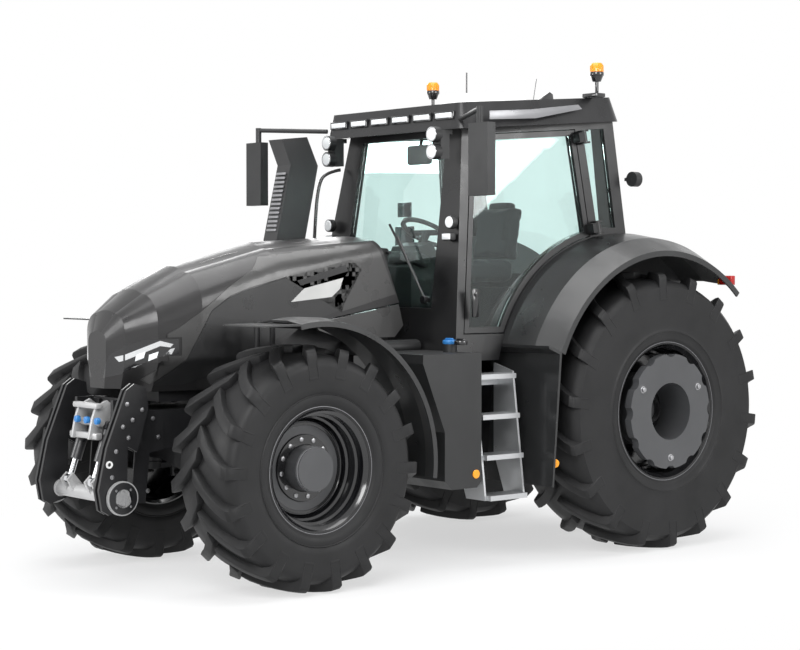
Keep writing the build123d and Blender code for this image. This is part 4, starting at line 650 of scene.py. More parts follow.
@dataclass
class LuggedTyre:
    """One tractor tyre: a smooth carcass with sidewall rings, and two rows of curved lugs."""

    wheel: Wheel
    lugs: int = 18
    tread: float = 0.052
    lug_width: float = 0.066
    flare: float = 0.013
    advance: float = 0.245
    steps: int = 120

    def section(self) -> list[Flat]:
        """The carcass section as a closed ring of (along, radius)."""
        half = self.wheel.width / 2 - 0.003
        tread = self.wheel.radius - self.tread
        bead = self.wheel.seat + 0.0262
        lip = self.wheel.lip
        low = bead + 0.020
        high = tread - 0.060
        outer: list[Flat] = [(0.0, tread + 0.004), (0.45 * half, tread), (0.80 * half, tread - 0.012),
                             (0.93 * half, tread - 0.034)]
        for i in range(11):
            share = i / 10
            swell = math.sin(math.pi * (0.32 + 0.62 * share))
            along = lip + 0.012 + (half - lip - 0.012) * swell ** 0.7
            outer.append((along, high + (low - high) * share))
        ring = low + 0.050
        outer = [p for p in outer if abs(p[1] - ring) > 0.012]
        outer += [(lip + 0.020, ring + 0.006), (lip + 0.025, ring), (lip + 0.020, ring - 0.006)]
        outer.sort(key=lambda p: (-p[1], p[0]))
        outer += [(lip + 0.012, bead + 0.008), (lip + 0.004, bead + 0.001)]
        bore = [(lip - 0.004, self.wheel.seat + 0.001), (-lip + 0.004, self.wheel.seat + 0.001)]
        inner = [(-along, radius) for along, radius in reversed(outer)]
        return outer + bore + inner[:-1]

    def stations(self) -> list[tuple[float, float, float, float]]:
        """One lug's stations: across, top radius, low radius and share of its sweep."""
        half = self.wheel.width / 2 - 0.001
        top = self.wheel.radius - 0.001
        tread = self.wheel.radius - self.tread
        return [
            (-0.016, top, tread - 0.02, 0.0), (0.16 * half, top, tread - 0.02, 0.26),
            (0.36 * half, top - 0.001, tread - 0.02, 0.50), (0.58 * half, top - 0.003, tread - 0.03, 0.71),
            (0.78 * half, top - 0.007, tread - 0.05, 0.87), (0.93 * half, top - 0.013, tread - 0.09, 0.96),
            (0.99 * half, top - 0.032, tread - 0.13, 0.99), (half, top - 0.072, tread - 0.15, 1.0),
            (0.985 * half, top - 0.150, tread - 0.16, 1.0),
        ]

    def lug(self) -> bmesh.types.BMesh:
        """One lug of the outer row, at the angle 0."""
        part = bmesh.new()
        rows = self.stations()
        rings: list[list[Point]] = []
        for i, (across, top, low, share) in enumerate(rows):
            before = rows[max(0, i - 1)]
            after = rows[min(len(rows) - 1, i + 1)]
            run = max(abs(after[0] - before[0]), 0.02)
            slope = abs(after[3] - before[3]) * self.advance / run
            half = self.lug_width / 2 * min(1.5, math.sqrt(1 + slope * slope)) * (0.86 + 0.2 * share)
            angle = share * self.advance / self.wheel.radius
            ring = []
            foot = half + self.flare
            for radius, wide in ((top, half), (top, -half), (low, -foot), (low, foot)):
                turn = angle + wide / self.wheel.radius
                ring.append((across, radius * math.cos(turn), radius * math.sin(turn)))
            rings.append(ring)
        verts = [part.verts.new(corner) for corner in rings[0]]
        face = part.faces.new(verts)
        for ring in rings[1:]:
            grown = bmesh.ops.extrude_discrete_faces(part, faces=[face])["faces"][0]
            for vert, corner in zip(grown.verts, ring):
                vert.co = corner
            face = grown
        part.faces.new(list(reversed(verts)))
        bmesh.ops.recalc_face_normals(part, faces=part.faces)
        tops = [e for e in part.edges if all(v.co.yz.length > self.wheel.radius - 0.08 for v in e.verts)
                and e.calc_face_angle(0.0) > 0.6]
        bmesh.ops.bevel(part, geom=tops, offset=0.006, offset_type="OFFSET", segments=2, profile=0.5,
                        affect="EDGES", material=-1, clamp_overlap=True)
        return part

    def build(self) -> bpy.types.Object:
        """Builds the tyre in place of its CAD node."""
        wheel = self.wheel
        mould = Mould(f"{wheel.name}_tyre", Finishes.rubber)
        mould.lathe(self.section(), wheel.centre, wheel.outward, self.steps)
        pitch = 2 * math.pi / self.lugs
        seat = Matrix.Translation(wheel.centre) @ Matrix.Scale(wheel.side, 4, (1, 0, 0))
        places = []
        for row, start in ((1, 0.0), (-1, pitch / 2)):
            for i in range(self.lugs):
                turn = Matrix.Rotation(start + i * pitch, 4, "X")
                places.append(seat @ turn @ Matrix.Scale(row, 4, (1, 0, 0)))
        mould.take(self.lug(), places)
        return mould.cast(f"wheel_{wheel.name}", "tyre_rubber", [f"tyre_{wheel.name}"])


@dataclass
class SteppedRim:
    """A glossy rim with its stepped barrel, pale edge, bolts and axle end."""

    wheel: Wheel
    bore: float

    def section(self) -> list[Flat]:
        """The rim's section as a closed ring of (along, radius)."""
        lip, face, seat = self.wheel.lip, self.wheel.face, self.wheel.seat
        edge = seat + 0.0254
        depth = self.wheel.disc_in
        return [
            (lip, edge), (lip - 0.006, edge), (lip - 0.010, seat + 0.010), (lip - 0.024, seat),
            (-lip + 0.024, seat), (-lip + 0.010, seat + 0.010), (-lip, edge), (-lip, edge - 0.020),
            (-lip + 0.020, seat - 0.014), (face - 0.030, seat - 0.016), (face - 0.026, self.bore),
            (face, self.bore), (face, seat - 0.085), (face + 0.012, seat - 0.070),
            (face + 0.05, seat - 0.064), (face + 0.06, seat - 0.050),
            (lip - 0.42 * depth, seat - 0.046), (lip - 0.38 * depth, seat - 0.030),
            (lip - 0.14 * depth, seat - 0.026), (lip - 0.10 * depth, seat - 0.012),
            (lip - 0.012, seat - 0.004), (lip - 0.002, seat + 0.006),
        ]

    def build(self) -> None:
        """Builds the rim, its pale edge and the small parts on it."""
        wheel = self.wheel
        body = f"wheel_{wheel.name}"
        Mould(f"{wheel.name}_rim", Finishes.rim).lathe(self.section(), wheel.centre, wheel.outward, 128).cast(
            body, "rim_black", [f"rim_{wheel.name}"], smooth=30)
        edge = wheel.seat + 0.0254
        lip = wheel.lip
        pale = [(lip - 0.003, edge - 0.001), (lip + 0.0016, edge - 0.001), (lip + 0.0016, edge - 0.010),
                (lip - 0.003, edge - 0.012)]
        Mould(f"{wheel.name}_rim_edge", Finishes.rim_edge).lathe(pale, wheel.centre, wheel.outward, 128).cast(
            body, "rim_black")
        if wheel.end == "front":
            self._front_fittings(body)
        else:
            self._rear_fittings(body)

    def _front_fittings(self, body: str) -> None:
        """The drive housing's nuts, its ring and the pale cap."""
        wheel = self.wheel
        low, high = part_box(f"front_hub_{'left' if wheel.side > 0 else 'right'}")
        cap = (high.x if wheel.side > 0 else -low.x) - wheel.track
        nuts = Mould(f"{wheel.name}_nuts", Finishes.steel)
        face = wheel.face + 0.024
        for i in range(12):
            nuts.bolt(wheel.spot(face, 0.182, i * 30 + 8), wheel.outward, 0.017)
        nuts.cast(body, "casting_grey")
        hub = Mould(f"{wheel.name}_hub_ring", Finishes.gloss_black)
        hub.lathe([(face, 0.215), (face + 0.012, 0.210), (face + 0.014, 0.152), (face, 0.150)], wheel.centre,
                  wheel.outward)
        hub.lathe([(face, 0.291), (face + 0.004, 0.289), (face + 0.004, 0.272), (face, 0.270)], wheel.centre,
                  wheel.outward)
        hub.cast(body, "rim_black")
        cover = Mould(f"{wheel.name}_cap", Finishes.cap_grey)
        dish = [(cap - 0.055, 0.1372), (cap - 0.008, 0.1372), (cap - 0.001, 0.129), (cap - 0.001, 0.100),
                (cap - 0.004, 0.096), (cap - 0.004, 0.001), (cap - 0.055, 0.001)]
        cover.lathe(dish, wheel.centre, wheel.outward)
        for i in range(6):
            cover.bolt(wheel.spot(cap - 0.012, 0.112, i * 60 + 20), wheel.outward, 0.008)
        cover.cast(body, "casting_grey")

    def _rear_fittings(self, body: str) -> None:
        """The bolts in the disc, the axle's end and the weight's fastenings."""
        wheel = self.wheel
        low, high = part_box(f"rear_weight_{'left' if wheel.side > 0 else 'right'}")
        out = (high.x if wheel.side > 0 else -low.x) - wheel.track
        nuts = Mould(f"{wheel.name}_nuts", Finishes.steel)
        for i in range(10):
            nuts.bolt(wheel.spot(wheel.face, 0.142, i * 36), wheel.outward, 0.018)
        for i in range(3):
            nuts.bolt(wheel.spot(out - 0.004, 0.335, i * 120 + 30), wheel.outward, 0.019)
        nuts.cast(body, "casting_grey")
        end = Mould(f"{wheel.name}_axle_end", Finishes.gloss_black)
        face = wheel.face
        tip = [(face, 0.118), (face + 0.05, 0.114), (face + 0.085, 0.096), (face + 0.110, 0.090),
               (face + 0.110, 0.083), (face, 0.083)]
        end.lathe(tip, wheel.centre, wheel.outward)
        end.cast(body, "rim_black")
        ring = Mould(f"{wheel.name}_weight_ring", Finishes.wheel_grey)
        ring.lathe([(out - 0.006, 0.268), (out - 0.001, 0.264), (out - 0.001, 0.212), (out - 0.006, 0.208)],
                   wheel.centre, wheel.outward)
        for i in range(3):
            start = wheel.spot(out - 0.004, 0.335, i * 120 + 30)
            ring.drum(0.040, 0.010, start, wheel.outward, 32, 0.003)
        ring.cast(body, "casting_grey")


@dataclass
class Studio:
    """The pale floor, the soft lamps and the camera."""

    eye: Point = (10.4007, -8.5019, 2.0324)
    look: Point = (-0.77082, 0.63634, -0.03003)
    lens: float = 83.4
    shift: float = -0.0012

    def floor(self) -> None:
        """A wide pale floor that keeps the shadow near the tractor and turns white further out."""
        part = bmesh.new()
        bmesh.ops.create_grid(part, x_segments=8, y_segments=8, size=60.0)
        mesh = bpy.data.meshes.new("floor")
        part.to_mesh(mesh)
        part.free()
        floor = bpy.data.objects.new("floor", mesh)
        bpy.context.scene.collection.objects.link(floor)
        made = bpy.data.materials.new("floor_white")
        made.use_nodes = True
        tree = made.node_tree
        tree.nodes.clear()
        out = tree.nodes.new("ShaderNodeOutputMaterial")
        mix = tree.nodes.new("ShaderNodeMixShader")
        matte = tree.nodes.new("ShaderNodeBsdfDiffuse")
        glow = tree.nodes.new("ShaderNodeEmission")
        matte.inputs["Color"].default_value = (0.90, 0.90, 0.90, 1.0)
        glow.inputs["Color"].default_value = (1.0, 1.0, 1.0, 1.0)
        glow.inputs["Strength"].default_value = 1.0
        coords = tree.nodes.new("ShaderNodeTexCoord")
        squeeze = tree.nodes.new("ShaderNodeMapping")
        squeeze.inputs["Scale"].default_value = (1 / 3.6, 1 / 5.0, 0.0)
        length = tree.nodes.new("ShaderNodeVectorMath")
        length.operation = "LENGTH"
        span = tree.nodes.new("ShaderNodeMapRange")
        span.inputs["From Min"].default_value = 0.35
        span.inputs["From Max"].default_value = 1.0
        span.inputs["To Min"].default_value = 0.60
        span.inputs["To Max"].default_value = 1.0
        span.interpolation_type = "SMOOTHSTEP"
        rays = self._seen(tree)
        both = tree.nodes.new("ShaderNodeMath")
        both.operation = "MULTIPLY"
        tree.links.new(coords.outputs["Object"], squeeze.inputs["Vector"])
        tree.links.new(squeeze.outputs["Vector"], length.inputs[0])
        tree.links.new(length.outputs["Value"], span.inputs["Value"])
        tree.links.new(span.outputs["Result"], both.inputs[0])
        tree.links.new(rays, both.inputs[1])
        tree.links.new(both.outputs["Value"], mix.inputs["Fac"])
        tree.links.new(matte.outputs["BSDF"], mix.inputs[1])
        tree.links.new(glow.outputs["Emission"], mix.inputs[2])
        tree.links.new(mix.outputs["Shader"], out.inputs["Surface"])
        mesh.materials.append(made)

    @staticmethod
    def _seen(tree: bpy.types.NodeTree) -> bpy.types.NodeSocket:
        """A factor that is 1 for what the camera sees, also in gloss and through glass.

        Args:
            tree: The nodes that use the factor.

        Returns:
            The socket that gives it.
        """
        path = tree.nodes.new("ShaderNodeLightPath")
        total = path.outputs["Is Camera Ray"]
        for name in ("Is Glossy Ray", "Is Transmission Ray"):
            add = tree.nodes.new("ShaderNodeMath")
            add.operation = "ADD"
            add.use_clamp = True
            tree.links.new(total, add.inputs[0])
            tree.links.new(path.outputs[name], add.inputs[1])
            total = add.outputs["Value"]
        return total

    def world(self) -> None:
        """A white surround for the camera, and a dimmer one for the light."""
        world = bpy.data.worlds.new("studio")
        bpy.context.scene.world = world
        world.use_nodes = True
        tree = world.node_tree
        tree.nodes.clear()
        out = tree.nodes.new("ShaderNodeOutputWorld")
        mix = tree.nodes.new("ShaderNodeMixShader")
        dim = tree.nodes.new("ShaderNodeBackground")
        white = tree.nodes.new("ShaderNodeBackground")
        dim.inputs["Color"].default_value = (0.92, 0.95, 1.0, 1.0)
        dim.inputs["Strength"].default_value = 0.32
        white.inputs["Color"].default_value = (1.0, 1.0, 1.0, 1.0)
        white.inputs["Strength"].default_value = 1.0
        tree.links.new(self._seen(tree), mix.inputs["Fac"])
        tree.links.new(dim.outputs["Background"], mix.inputs[1])
        tree.links.new(white.outputs["Background"], mix.inputs[2])
        tree.links.new(mix.outputs["Shader"], out.inputs["Surface"])

    def lamp(self, name: str, place: Point, aim: Point, size: float, power: float) -> None:
        """One soft square lamp.

        Args:
            name: Its name.
            place: Where it stands.
            aim: The point that it faces.
            size: The length of its side.
            power: Its power in watts.
        """
        data = bpy.data.lights.new(name, "AREA")
        data.shape = "SQUARE"
        data.size = size
        data.energy = power
        lamp = bpy.data.objects.new(name, data)
        lamp.location = place
        lamp.rotation_euler = (Vector(aim) - Vector(place)).to_track_quat("-Z", "Y").to_euler()
        bpy.context.scene.collection.objects.link(lamp)

    def camera(self) -> None:
        """The camera at the photograph's viewing angle."""
        data = bpy.data.cameras.new("view")
        data.lens = self.lens
        data.sensor_width = 36.0
        data.shift_x = self.shift
        data.clip_end = 200.0
        camera = bpy.data.objects.new("view", data)
        camera.location = self.eye
        camera.rotation_euler = Vector(self.look).to_track_quat("-Z", "Y").to_euler()
        bpy.context.scene.collection.objects.link(camera)
        bpy.context.scene.camera = camera

    def build(self) -> None:
        """Sets up floor, light and camera."""
        self.floor()
        self.world()
        self.lamp("top_box", (0.5, -0.5, 7.5), (0, 0, 1), 7.0, 520.0)
        self.lamp("key_box", (6.5, -7.5, 6.0), (0, -0.5, 1.2), 4.5, 620.0)
        self.lamp("side_box_lamp", (9.5, 3.5, 4.5), (0.5, 0.8, 1.2), 4.0, 380.0)
        self.lamp("back_box", (-7.5, 4.0, 5.5), (0, 0, 1.5), 5.0, 300.0)
        self.lamp("nose_box", (-3.5, -9.0, 3.0), (0, -2, 1.2), 3.5, 240.0)
        self.camera()
        bpy.context.scene.view_settings.view_transform = "Standard"


@dataclass
class HoodTrim:
    """The panels, seams and lamp strips that lie on the hood; outlines are in side view, seams in plan."""

    grey: tuple[Flat, ...] = (
        (-2.28, 1.33), (-2.14, 1.44), (-2.14, 1.62), (-2.06, 1.66), (-1.87, 1.79), (-1.70, 1.91),
        (-1.49, 2.03), (-1.40, 2.12), (-0.47, 2.225), (-0.30, 1.86), (-0.77, 1.745), (-0.75, 1.80),
        (-0.60, 2.03), (-0.69, 2.10), (-0.96, 2.04), (-1.25, 1.98), (-1.55, 1.91), (-1.69, 1.86),
        (-1.83, 1.77), (-1.92, 1.62), (-2.01, 1.46), (-2.11, 1.38), (-2.22, 1.30),
    )
    black: tuple[Flat, ...] = (
        (-2.20, 1.29), (-2.11, 1.37), (-2.01, 1.45), (-1.92, 1.61), (-1.83, 1.76), (-1.69, 1.85),
        (-1.55, 1.90), (-1.25, 1.97), (-0.96, 2.03), (-0.69, 2.09), (-0.61, 2.03), (-0.76, 1.80),
        (-0.80, 1.75), (-1.10, 1.66), (-1.50, 1.50), (-1.80, 1.36), (-2.00, 1.29),
    )
    slant: tuple[Flat, ...] = ((-1.15, 1.955), (-0.74, 2.065), (-0.72, 2.02), (-1.12, 1.925))
    bare: tuple[Flat, ...] = ((-1.20, 1.815), (-1.09, 1.905), (-0.76, 1.975), (-0.79, 1.90), (-0.86, 1.845))
    lamp_upper: tuple[Flat, ...] = (
        (-2.415, 1.475), (-2.19, 1.578), (-2.10, 1.555), (-2.12, 1.535), (-2.19, 1.545), (-2.40, 1.445),
    )
    lamp_lower: tuple[Flat, ...] = (
        (-2.34, 1.41), (-2.17, 1.475), (-2.12, 1.525), (-2.09, 1.53), (-2.13, 1.455), (-2.32, 1.375),
    )
    lens_middles: Flat = (-2.30, -2.23)
    lamp_mesh: float = 0.02
    strip_lift: float = 0.003
    lens_lift: float = 0.004
    lamp_thickness: float = 0.004
    seam: tuple[Flat, ...] = (
        (0.10, -2.39), (0.145, -2.26), (0.15, -2.0), (0.13, -1.7), (0.15, -1.4), (0.17, -0.9),
        (0.18, -0.4),
    )
    seam_radius: float = 0.0045
    nose_leg: tuple[Flat, ...] = ((0.012, 1.44), (0.030, 1.44), (0.075, 1.585), (0.050, 1.585))
    nose_y: float = -2.4435
    nose_thickness: float = 0.012

    def build(self) -> None:
        """Builds the side panels, insets, seams, lamp strips and the bare nose tip."""
        skin = cad_mesh("hood")
        panels = (
            ("hood_side_grey", Finishes.hood_side, self.grey, 0.005),
            ("hood_side_black", Finishes.inset, self.black, 0.003),
            ("hood_slant_strip", Finishes.gloss_black, self.slant, 0.008),
            ("hood_bare_strip", Finishes.edge_light, self.bare, 0.007),
        )
        for name, finish, outline, lift in panels:
            mould = Mould(name, finish)
            for side in SIDES:
                mould.drape(outline, skin, side, lift)
            mould.cast("hood_lid", "hood_grey")
        self._lamps()
        seams = Mould("hood_seams", Finishes.gloss_black)
        for side in SIDES:
            seams.tube(self._lay(skin, [(side * x, y) for x, y in self.seam]), self.seam_radius)
        seams.cast("hood_lid", "hood_grey")
        nose = Mould("nose_tip", Finishes.edge_light)
        for side in SIDES:
            leg = [(side * x, z) for x, z in self.nose_leg]
            nose.plate(leg, self.nose_y, self.nose_thickness, "y", 0.002)
        nose.cast("hood_lid", "light_casting")

    def _lamps(self) -> None:
        """The bright strips and lenses on the headlights."""
        lamps = cad_mesh("headlights")
        bright = Mould("headlight_strips", Finishes.bright)
        lenses = Mould("headlight_lenses", Finishes.lamp_face)
        for side in SIDES:
            for outline in (self.lamp_upper, self.lamp_lower):
                bright.drape(outline, lamps, side, self.strip_lift, self.lamp_thickness, self.lamp_mesh)
            for y in self.lens_middles:
                lens = [(y - 0.025, 1.45), (y + 0.02, 1.47), (y + 0.03, 1.51), (y - 0.02, 1.49)]
                lenses.drape(lens, lamps, side, self.lens_lift, self.lamp_thickness, self.lamp_mesh)
        bright.cast("hood_lid", "lamp_glass")
        lenses.cast("hood_lid", "lamp_glass")

    @staticmethod
    def _lay(skin: BVHTree, plan: Sequence[Flat]) -> list[Point]:
        """Drops points on the hood from above, and leaves out those that miss it.

        Args:
            skin: The hood's faces.
            plan: The points in plan, x and y.

        Returns:
            The points on the hood.
        """
        hits = [skin.ray_cast(Vector((x, y, 4.0)), Vector((0, 0, -1)))[0] for x, y in plan]
        return [tuple(hit) for hit in hits if hit is not None]


@dataclass
class CabTrim:
    """Louvres, wiper, handle, roof lamps, antennas and the beacons."""

    low_z: float = 1.56
    low_x: float = 0.82
    low_y: float = -0.102
    lean_x: float = 0.128
    lean_y: float = 0.149
    louvre_count: int = 22
    louvre_low_z: float = 2.36
    louvre_pitch: float = 0.026
    louvre_size: Point = (0.010, 0.080, 0.012)
    louvre_tilt: float = 28.0
    wiper_run: tuple[Point, ...] = ((0.47, -0.085, 1.82), (0.30, -0.075, 2.05), (0.12, -0.045, 2.27))
    blade_place: Point = (0.20, -0.062, 2.16)
    blade_tilt: float = -38.0
    handle_place: Point = (0.865, 0.035, 1.80)
    lock_place: Point = (0.872, 0.035, 1.86)
    bar_places: tuple[float, ...] = (-0.60, -0.36, -0.12, 0.12, 0.36, 0.60)
    bar_z: float = 3.105
    side_blade: tuple[Flat, ...] = (
        (0.16, 3.13), (0.55, 3.16), (1.02, 3.22), (1.06, 3.19), (0.60, 3.10), (0.16, 3.07),
    )
    side_blade_x: float = 0.868
    fin: tuple[Flat, ...] = ((1.00, 3.27), (1.16, 3.27), (1.15, 3.33), (1.12, 3.345))
    beacon_x: float = 0.913
    beacon_y: float = 1.17
    beacon_z: float = 3.461
    beacon_ribs: int = 12
    beacon_rib_r: float = 0.047
    lamp_x: float = 0.601
    lamp_levels: Flat = (2.969, 2.849)
    post_lamp_z: float = 2.36
    post_marker_z: float = 2.26
    mirror_place: Point = (1.285, -0.248, 2.76)

    def post(self, z: float) -> Flat:
        """The outer front corner of the cab at a height: its x and y.

        Args:
            z: The height.

        Returns:
            The corner's x and y.
        """
        return self.low_x - (z - self.low_z) * self.lean_x, self.low_y + (z - self.low_z) * self.lean_y

    def build(self) -> None:
        """Builds the cab's outer fittings."""
        louvres = Mould("pillar_louvres", Finishes.plastic)
        for i in range(self.louvre_count):
            z = self.louvre_low_z + i * self.louvre_pitch
            x, y = self.post(z)
            tilt = Matrix.Rotation(math.radians(self.louvre_tilt), 4, "X")
            louvres.block(self.louvre_size, (x - 0.006, y + 0.056, z), 0.002, tilt)
        louvres.mirror().cast("chassis", "black_plastic")
        wiper = Mould("wiper", Finishes.gloss_black)
        wiper.tube(self.wiper_run, 0.008, smooth=False)
        tilt = Matrix.Rotation(math.radians(self.blade_tilt), 4, "Y")
        wiper.block((0.014, 0.014, 0.50), self.blade_place, 0.003, tilt)
        wiper.drum(0.028, 0.05, self.wiper_run[0], (0, 1, 0))
        wiper.cast("chassis", "black_plastic")
        handle = Mould("door_handle", Finishes.gloss_black)
        handle.block((0.018, 0.055, 0.20), self.handle_place, 0.008)
        handle.drum(0.018, 0.03, self.lock_place, (1, 0, 0))
        handle.cast("door", "cab_black")
        self._roof()
        self._beacons()
        self._lamps()
        self._post_lamps()

    def _roof(self) -> None:
        """The visor's lamp bars, side blades, antennas and the fin."""
        bars = Mould("roof_lamp_bars", Finishes.lamp_face)
        frames = Mould("roof_lamp_frames", Finishes.gloss_black)
        for x in self.bar_places:
            frames.block((0.20, 0.020, 0.060), (x, -0.018, self.bar_z), 0.006)
            bars.block((0.17, 0.010, 0.036), (x, -0.025, self.bar_z), 0.004)
        bars.cast("chassis", "lamp_glass")
        frames.cast("chassis", "black_plastic")
        blades = Mould("roof_side_blades", Finishes.exhaust_face)
        blades.plate(self.side_blade, self.side_blade_x, 0.008)
        blades.mirror().cast("chassis", "roof_grey")
        rods = Mould("antennas", Finishes.gloss_black)
        rods.tube([(0.0, 0.72, 3.24), (0.0, 0.72, 3.50)], 0.006, smooth=False)
        rods.tube([(0.0, 1.39, 3.25), (0.0, 1.44, 3.50)], 0.003, smooth=False)
        rods.drum(0.022, 0.03, (0.0, 1.39, 3.27), (0, 0, 1))
        rods.plate(self.fin, 0.45, 0.030)
        rods.cast("chassis", "black_plastic")

    def _beacons(self) -> None:
        """Black sockets and ribbed amber domes in place of the plain ones."""
        posts = Mould("beacon_posts", Finishes.gloss_black)
        domes = Mould("beacon_domes", Finishes.amber)
        dome = [(0.0, 0.001), (0.0, 0.048), (0.050, 0.046), (0.064, 0.036), (0.068, 0.001)]
        y, up = self.beacon_y, (0, 0, 1)
        for side in SIDES:
            x = side * self.beacon_x
            posts.drum(0.014, 0.15, (x, y, 3.36), up)
            posts.block((0.14, 0.10, 0.03), (x - side * 0.03, y, 3.293), 0.006)
            posts.drum(0.052, 0.030, (x, y, 3.446), up, edge=0.006)
            posts.drum(0.030, 0.05, (x, y, 3.415), up, top=0.05)
            domes.lathe(dome, (x, y, self.beacon_z), up, 48)
            for i in range(self.beacon_ribs):
                turn = i * 2 * math.pi / self.beacon_ribs
                rib = (x + self.beacon_rib_r * math.cos(turn), y + self.beacon_rib_r * math.sin(turn), 3.485)
                domes.block((0.006, 0.006, 0.044), rib, 0.001)
        posts.cast("chassis", "black_plastic", ["beacons"])
        domes.cast("chassis", "beacon_amber", ["beacons"])

    def _lamps(self) -> None:
        """Lenses and rings on the pillar lamps."""
        lenses = Mould("pillar_lamp_lenses", Finishes.lamp_face)
        rings = Mould("pillar_lamp_rings", Finishes.bright)
        lens = [(0.0, 0.001), (0.0, 0.044), (0.006, 0.040), (0.010, 0.001)]
        ring = [(0.0, 0.052), (0.004, 0.051), (0.004, 0.045), (0.0, 0.044)]
        for side in SIDES:
            for z in self.lamp_levels:
                lenses.lathe(lens, (side * self.lamp_x, -0.138, z), (0, -1, 0), 40)
                rings.lathe(ring, (side * self.lamp_x, -0.139, z), (0, -1, 0), 40)
        lenses.cast("chassis", "lamp_glass")
        rings.cast("chassis", "lamp_glass")

    def _post_lamps(self) -> None:
        """The small lamps low on the pillars, their lenses, and the mirrors' glass."""
        bodies = Mould("post_lamps", Finishes.plastic)
        lenses = Mould("post_lamp_lenses", Finishes.lamp_face)
        glass = Mould("mirror_glass", Finishes.mirror_glass)
        lens = [(0.0, 0.001), (0.0, 0.040), (0.005, 0.036), (0.008, 0.001)]
        x, y = self.post(2.33)
        mirror_x, mirror_y, mirror_z = self.mirror_place
        for side in SIDES:
            lamp_x, marker_x = side * (x - 0.03), side * (x - 0.05)
            bodies.drum(0.048, 0.045, (lamp_x, y - 0.045, self.post_lamp_z), (0, -1, 0), edge=0.006)
            bodies.block((0.10, 0.05, 0.055), (marker_x, y - 0.05, self.post_marker_z), 0.012)
            lenses.lathe(lens, (lamp_x, y - 0.068, self.post_lamp_z), (0, -1, 0), 36)
            lenses.block((0.085, 0.008, 0.040), (marker_x, y - 0.077, self.post_marker_z), 0.004)
            glass.block((0.160, 0.004, 0.40), (side * mirror_x, mirror_y, mirror_z), 0.0015)
        bodies.cast("chassis", "black_plastic")
        lenses.cast("chassis", "lamp_glass")
        glass.cast("chassis", "black_plastic")


@dataclass
class PaddedSeat:
    """The driver's seat: a base and a back that cloth pressure fills, and a head pad."""

    pressure: float = 4.0
    cap: float = 0.024
    voxel: float = 0.011
    rounding: float = 0.022
    steps: int = 20
    back_lean: float = -8.0
    base_size: Point = (0.44, 0.46, 0.12)
    back_size: Point = (0.42, 0.11, 0.42)
    head_size: Point = (0.24, 0.075, 0.12)

    def build(self) -> None:
        """Builds the three pads in place of the plain seat."""
        low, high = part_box("seat")
        middle = (low.y + high.y) / 2
        self._pad("seat_base", self.base_size, (0.0, middle - 0.05, low.z + 0.12), 0.0)
        self._pad("seat_back", self.back_size, (0.0, high.y - 0.12, low.z + 0.40), self.back_lean)
        self._pad("seat_head", self.head_size, (0.0, high.y - 0.075, high.z - 0.095), self.back_lean)

    def _block(self, name: str, size: Point, centre: Point, lean: float) -> bpy.types.Object:
        """The rounded block that a pad starts from, as a fine even mesh.

        Args:
            name: The pad's name.
            size: Its size along x, y and z.
            centre: Its middle.
            lean: How far it leans, in degrees.

        Returns:
            The block as an object.
        """
        part = bmesh.new()
        bmesh.ops.create_cube(part, size=1.0)
        bmesh.ops.scale(part, vec=size, verts=part.verts)
        bmesh.ops.bevel(part, geom=part.edges[:], offset=self.rounding, offset_type="OFFSET", segments=3,
                        profile=0.5, affect="EDGES", material=-1)
        turn = Matrix.Rotation(math.radians(lean), 3, "X")
        bmesh.ops.rotate(part, verts=part.verts, cent=(0, 0, 0), matrix=turn)
        bmesh.ops.translate(part, vec=centre, verts=part.verts)
        mesh = bpy.data.meshes.new(name)
        part.to_mesh(mesh)
        part.free()
        pad = bpy.data.objects.new(name, mesh)
        bpy.context.scene.collection.objects.link(pad)
        remesh = pad.modifiers.new("remesh", "REMESH")
        remesh.mode = "VOXEL"
        remesh.voxel_size = self.voxel
        self._apply(pad)
        return pad

    def _fill(self, pad: bpy.types.Object) -> None:
        """Swells a pad by cloth pressure, and caps how far each point moves."""
        rest = [v.co.copy() for v in pad.data.vertices]
        cloth = pad.modifiers.new("cloth", "CLOTH")
        cloth.settings.use_pressure = True
        cloth.settings.uniform_pressure_force = self.pressure
        cloth.settings.effector_weights.gravity = 0.0
        cloth.point_cache.frame_start = 1
        cloth.point_cache.frame_end = self.steps
        for step in range(1, self.steps + 1):
            bpy.context.scene.frame_set(step)
        self._apply(pad)
        for vert, start in zip(pad.data.vertices, rest):
            move = vert.co - start
            if move.length > self.cap:
                vert.co = start + move.normalized() * self.cap
        bpy.context.scene.frame_set(1)

    def _pad(self, name: str, size: Point, centre: Point, lean: float) -> None:
        """One finished pad, filled by cloth pressure.

        Args:
            name: The pad's name.
            size: Its size along x, y and z.
            centre: Its middle.
            lean: How far it leans, in degrees.
        """
        pad = self._block(name, size, centre, lean)
        self._fill(pad)
        for face in pad.data.polygons:
            face.use_smooth = True
        pad.data.materials.clear()
        pad.data.materials.append(Finishes.seat.material())
        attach(pad, "chassis")
        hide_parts("seat")
        log.info("%s: %d faces", name, len(pad.data.polygons))

    @staticmethod
    def _apply(pad: bpy.types.Object) -> None:
        """Makes the modifiers' result the mesh."""
        bpy.context.view_layer.update()
        shown = pad.evaluated_get(bpy.context.evaluated_depsgraph_get())
        made = bpy.data.meshes.new_from_object(shown)
        pad.modifiers.clear()
        pad.data = made


